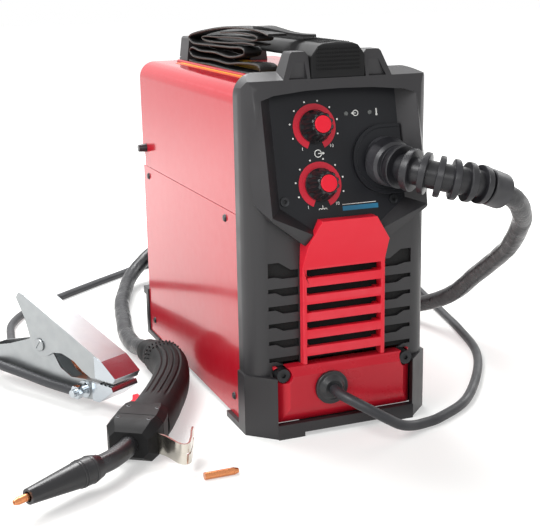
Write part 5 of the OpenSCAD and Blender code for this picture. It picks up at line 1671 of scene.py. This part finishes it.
    def handle(self) -> None:
        """Grooved handle and its faceted front block, with trigger pocket and socket."""
        block, trigger = self.lying(self.block_at), self.lying(self.trigger_at)
        rows = []
        for far, low, high, half, cut in self.sections:
            corners = (
                (low + cut, -half), (high - cut, -half), (high, -half + cut), (high, half - cut),
                (high - cut, half), (low + cut, half), (low, half - cut), (low, -half + cut),
            )
            rows.append([Vector((far, a, b)) for a, b in corners])
        radius, depth = self.socket
        socket = turned([(radius, 0), (radius, depth)], 48)
        socket = moved(socket, block @ Matrix.Translation((self.socket_at, 0, 0)) @ SIDEWAYS)
        pocket = prism(oblong(*self.pocket), -self.pocket_half, self.pocket_half)
        tools = [
            (moved(loft(rows), block), "UNION"),
            (socket, "DIFFERENCE"),
            (moved(pocket, trigger), "DIFFERENCE"),
        ]
        shape = carved(swept(self.middle(), self.reach, self.handle_sides), tools)
        MAKE.piece("gun_handle_body", shape, GRIP_RUBBER, ["gun_handle"])
        radius, half = self.pin
        pin = turned([(radius, -half), (radius, half)], 24)
        pin = moved(pin, trigger @ Matrix.Translation((*self.pin_at, 0)))
        MAKE.piece("gun_trigger_pin", pin, TURNED_STEEL, beside="gun_handle")
        seats = [block @ Matrix.Translation((*spot, self.screw_level)) for spot in self.screws]
        screws = [moved(turned(self.screw_profile, 24), seat) for seat in seats]
        MAKE.piece("gun_block_screws", joined(screws), BLACK_OXIDE, beside="gun_handle")

    def bumps(self) -> None:
        """Grip bumps round the handle where the cable enters."""
        spots = []
        line = self.middle()
        frames = frames_along(line)
        start, sweep = self.bump_arc
        for i, shift in self.bump_rings:
            ahead, side, up = frames[i]
            for k in range(self.bumps_each):
                angle = math.radians(start + sweep * k / (self.bumps_each - 1) + shift)
                out = side * math.cos(angle) + up * math.sin(angle)
                spots.append((line[i] + out * self.smooth_reach(i, angle) * MM, out, ahead))
        STUDS.spread("gun_handle_bumps", spots, self.bump, GRIP_RUBBER, "gun_handle")

    def nozzle(self) -> None:
        """Neck, nozzle cup and the ribs round its root."""
        MAKE.dressed("gun_neck", PHENOLIC)
        MAKE.dressed("gun_nozzle", PHENOLIC, 0.5)
        root = self.lying(self.nozzle_at) @ SIDEWAYS
        rings = []
        for far, r in self.nozzle_rings:
            rib = [
                (r - 0.3, far), (r + 0.45, far + 0.35), (r + 0.45, far + 1.0), (r - 0.3, far + 1.4)
            ]
            rings.append(moved(turned(rib, 56), root))
        MAKE.piece("gun_nozzle_rings", joined(rings), PHENOLIC, beside="gun_nozzle")

    def hook(self) -> None:
        """Bright sprung hook: one strip, split into two prongs at its free end."""
        flat = smooth_line([(x, y, 0.0) for x, y in self.hook_bends], 5)
        strips = []
        for low, high, share in self.hook_strips:
            line = flat[: max(2, int(len(flat) * share))]
            rows = []
            for i, spot in enumerate(line):
                ahead = heading(line, i)
                out = Vector((-ahead.y, ahead.x, 0)) * self.hook_half
                rows.append([
                    at(*(spot + out * side + Vector((0, 0, z))))
                    for side, z in oblong((-1, 1), (low, high))
                ])
            strips.append(loft(rows))
        MAKE.piece("gun_hook_body", joined(strips), NICKEL_SPRING, ["gun_hook"])


@dataclass
class WorkClamp:
    """Stamped work clamp: jaws, zinc pads, rivet, spring, braid and bolt."""

    width: float = 34.0
    pivot: Flat = (84.0, 58.0)
    upper_pad: tuple[Flat, ...] = (
        (167, 38.4), (170, 38.4), (171.5, 37.6), (173, 38.4), (175.5, 38.4), (177, 37.6),
        (178.5, 38.4), (181, 38.4), (182.5, 37.6), (184, 38.4), (186.5, 38.4), (188, 37.6),
        (189.5, 38.4), (193, 38.2), (196.4, 43.4), (178, 57.8), (167, 61),
    )
    lower_pad: tuple[Flat, ...] = (
        (162, 13.2), (172, 13.6), (192.4, 28.6), (190.4, 33.4), (187, 33.4), (185.5, 34.4),
        (184, 33.4), (181, 33.4), (179.5, 34.4), (178, 33.4), (175, 33.4), (173.5, 34.4),
        (172, 33.4), (162, 33.2),
    )
    strands: int = 8
    pad_lap: float = 0.7
    rivet_head: tuple[Flat, ...] = ((4.0, 0.5), (7.0, 0.5), (6.9, 1.7), (6.2, 2.2))
    rivet_slot: Flat = (5.0, 0.9)
    slot_lift: Flat = (1.5, 4.0)
    slot_turn: float = 0.9
    strand_radius: float = 1.15
    braid_half: Flat = (5.4, 1.3)
    twist: float = 0.33
    braid_route: tuple[Point, ...] = (
        (136, 33, 0), (126, 39, 2), (122, 46, 3), (130, 51, 2), (142, 53.5, 0), (150, 56, 0),
    )

    def place(self) -> Matrix:
        """Frame of the clamp: x towards its mouth, y up, z across."""
        return placed(*CLAMP_AT, 0, CLAMP_TURN) @ UPRIGHT

    def build(self) -> None:
        """Makes the clamp."""
        for node, finish, bevel in (
            ("clamp_lower_jaw", GALVANISED, 0.5), ("clamp_upper_jaw", GALVANISED, 0.5),
            ("clamp_spring", OILED_SPRING, 0.0), ("clamp_bolt", BRIGHT_ZINC, 0.4),
        ):
            MAKE.dressed(node, finish, bevel)
        self.pads()
        self.rivet()
        self.braid()

    def pads(self) -> None:
        """Serrated zinc pads over the tips of both jaws."""
        half = self.width / 2 + self.pad_lap
        for way, outline in (("upper", self.upper_pad), ("lower", self.lower_pad)):
            name, jaw = f"clamp_{way}_pad", f"clamp_{way}_jaw"
            MAKE.block(name, outline, -half, half, self.place(), BRIGHT_ZINC, 0.35, jaw)

    def rivet(self) -> None:
        """Pivot rivet with a flat head on each side, one of them slotted."""
        edge = self.width / 2
        head = self.rivet_head
        profile = [(r, -edge - z) for r, z in head[::-1]] + [(r, edge + z) for r, z in head]
        (long, wide), (low, high) = self.rivet_slot, self.slot_lift
        slot = prism(oblong((-long, long), (-wide, wide)), edge + low, edge + high)
        slot = moved(slot, Matrix.Rotation(self.slot_turn, 4, "Z"))
        shape = carved(turned(profile, 48), [(slot, "DIFFERENCE")])
        place = self.place() @ Matrix.Translation((*self.pivot, 0))
        MAKE.piece("clamp_rivet_body", moved(shape, place), GALVANISED, ["clamp_rivet"])

    def braid(self) -> None:
        """Flat copper braid: strands that weave across one another."""
        line = smooth_line(self.braid_route, 10)
        frames = frames_along(line)
        wide, thick = self.braid_half
        strands = []
        for k in range(self.strands):
            run = []
            for i, (_, side, up) in enumerate(frames):
                turn = 2 * math.pi * k / self.strands + i * self.twist
                across = line[i] + side * wide * math.sin(turn)
                run.append(self.place() @ (across + up * thick * math.cos(2 * turn)))
            strands.append(swept(run, lambda i, angle: self.strand_radius * MM, 10))
        MAKE.piece("clamp_braid_body", joined(strands), BRAID_COPPER, ["clamp_braid"])


def main() -> None:
    """Builds the scene, one sub-assembly after the other."""
    for part in (
        Studio(), FrontMoulding(), ControlPanel(), CableExits(), CaseShell(), GripAndStrap()
    ):
        part.build()
    insides()
    Gun().build()
    WorkClamp().build()
    MAKE.dressed("spare_contact_tip", DRAWN_COPPER, 0.25)
    Cables().build()


if __name__ == "__main__":
    main()
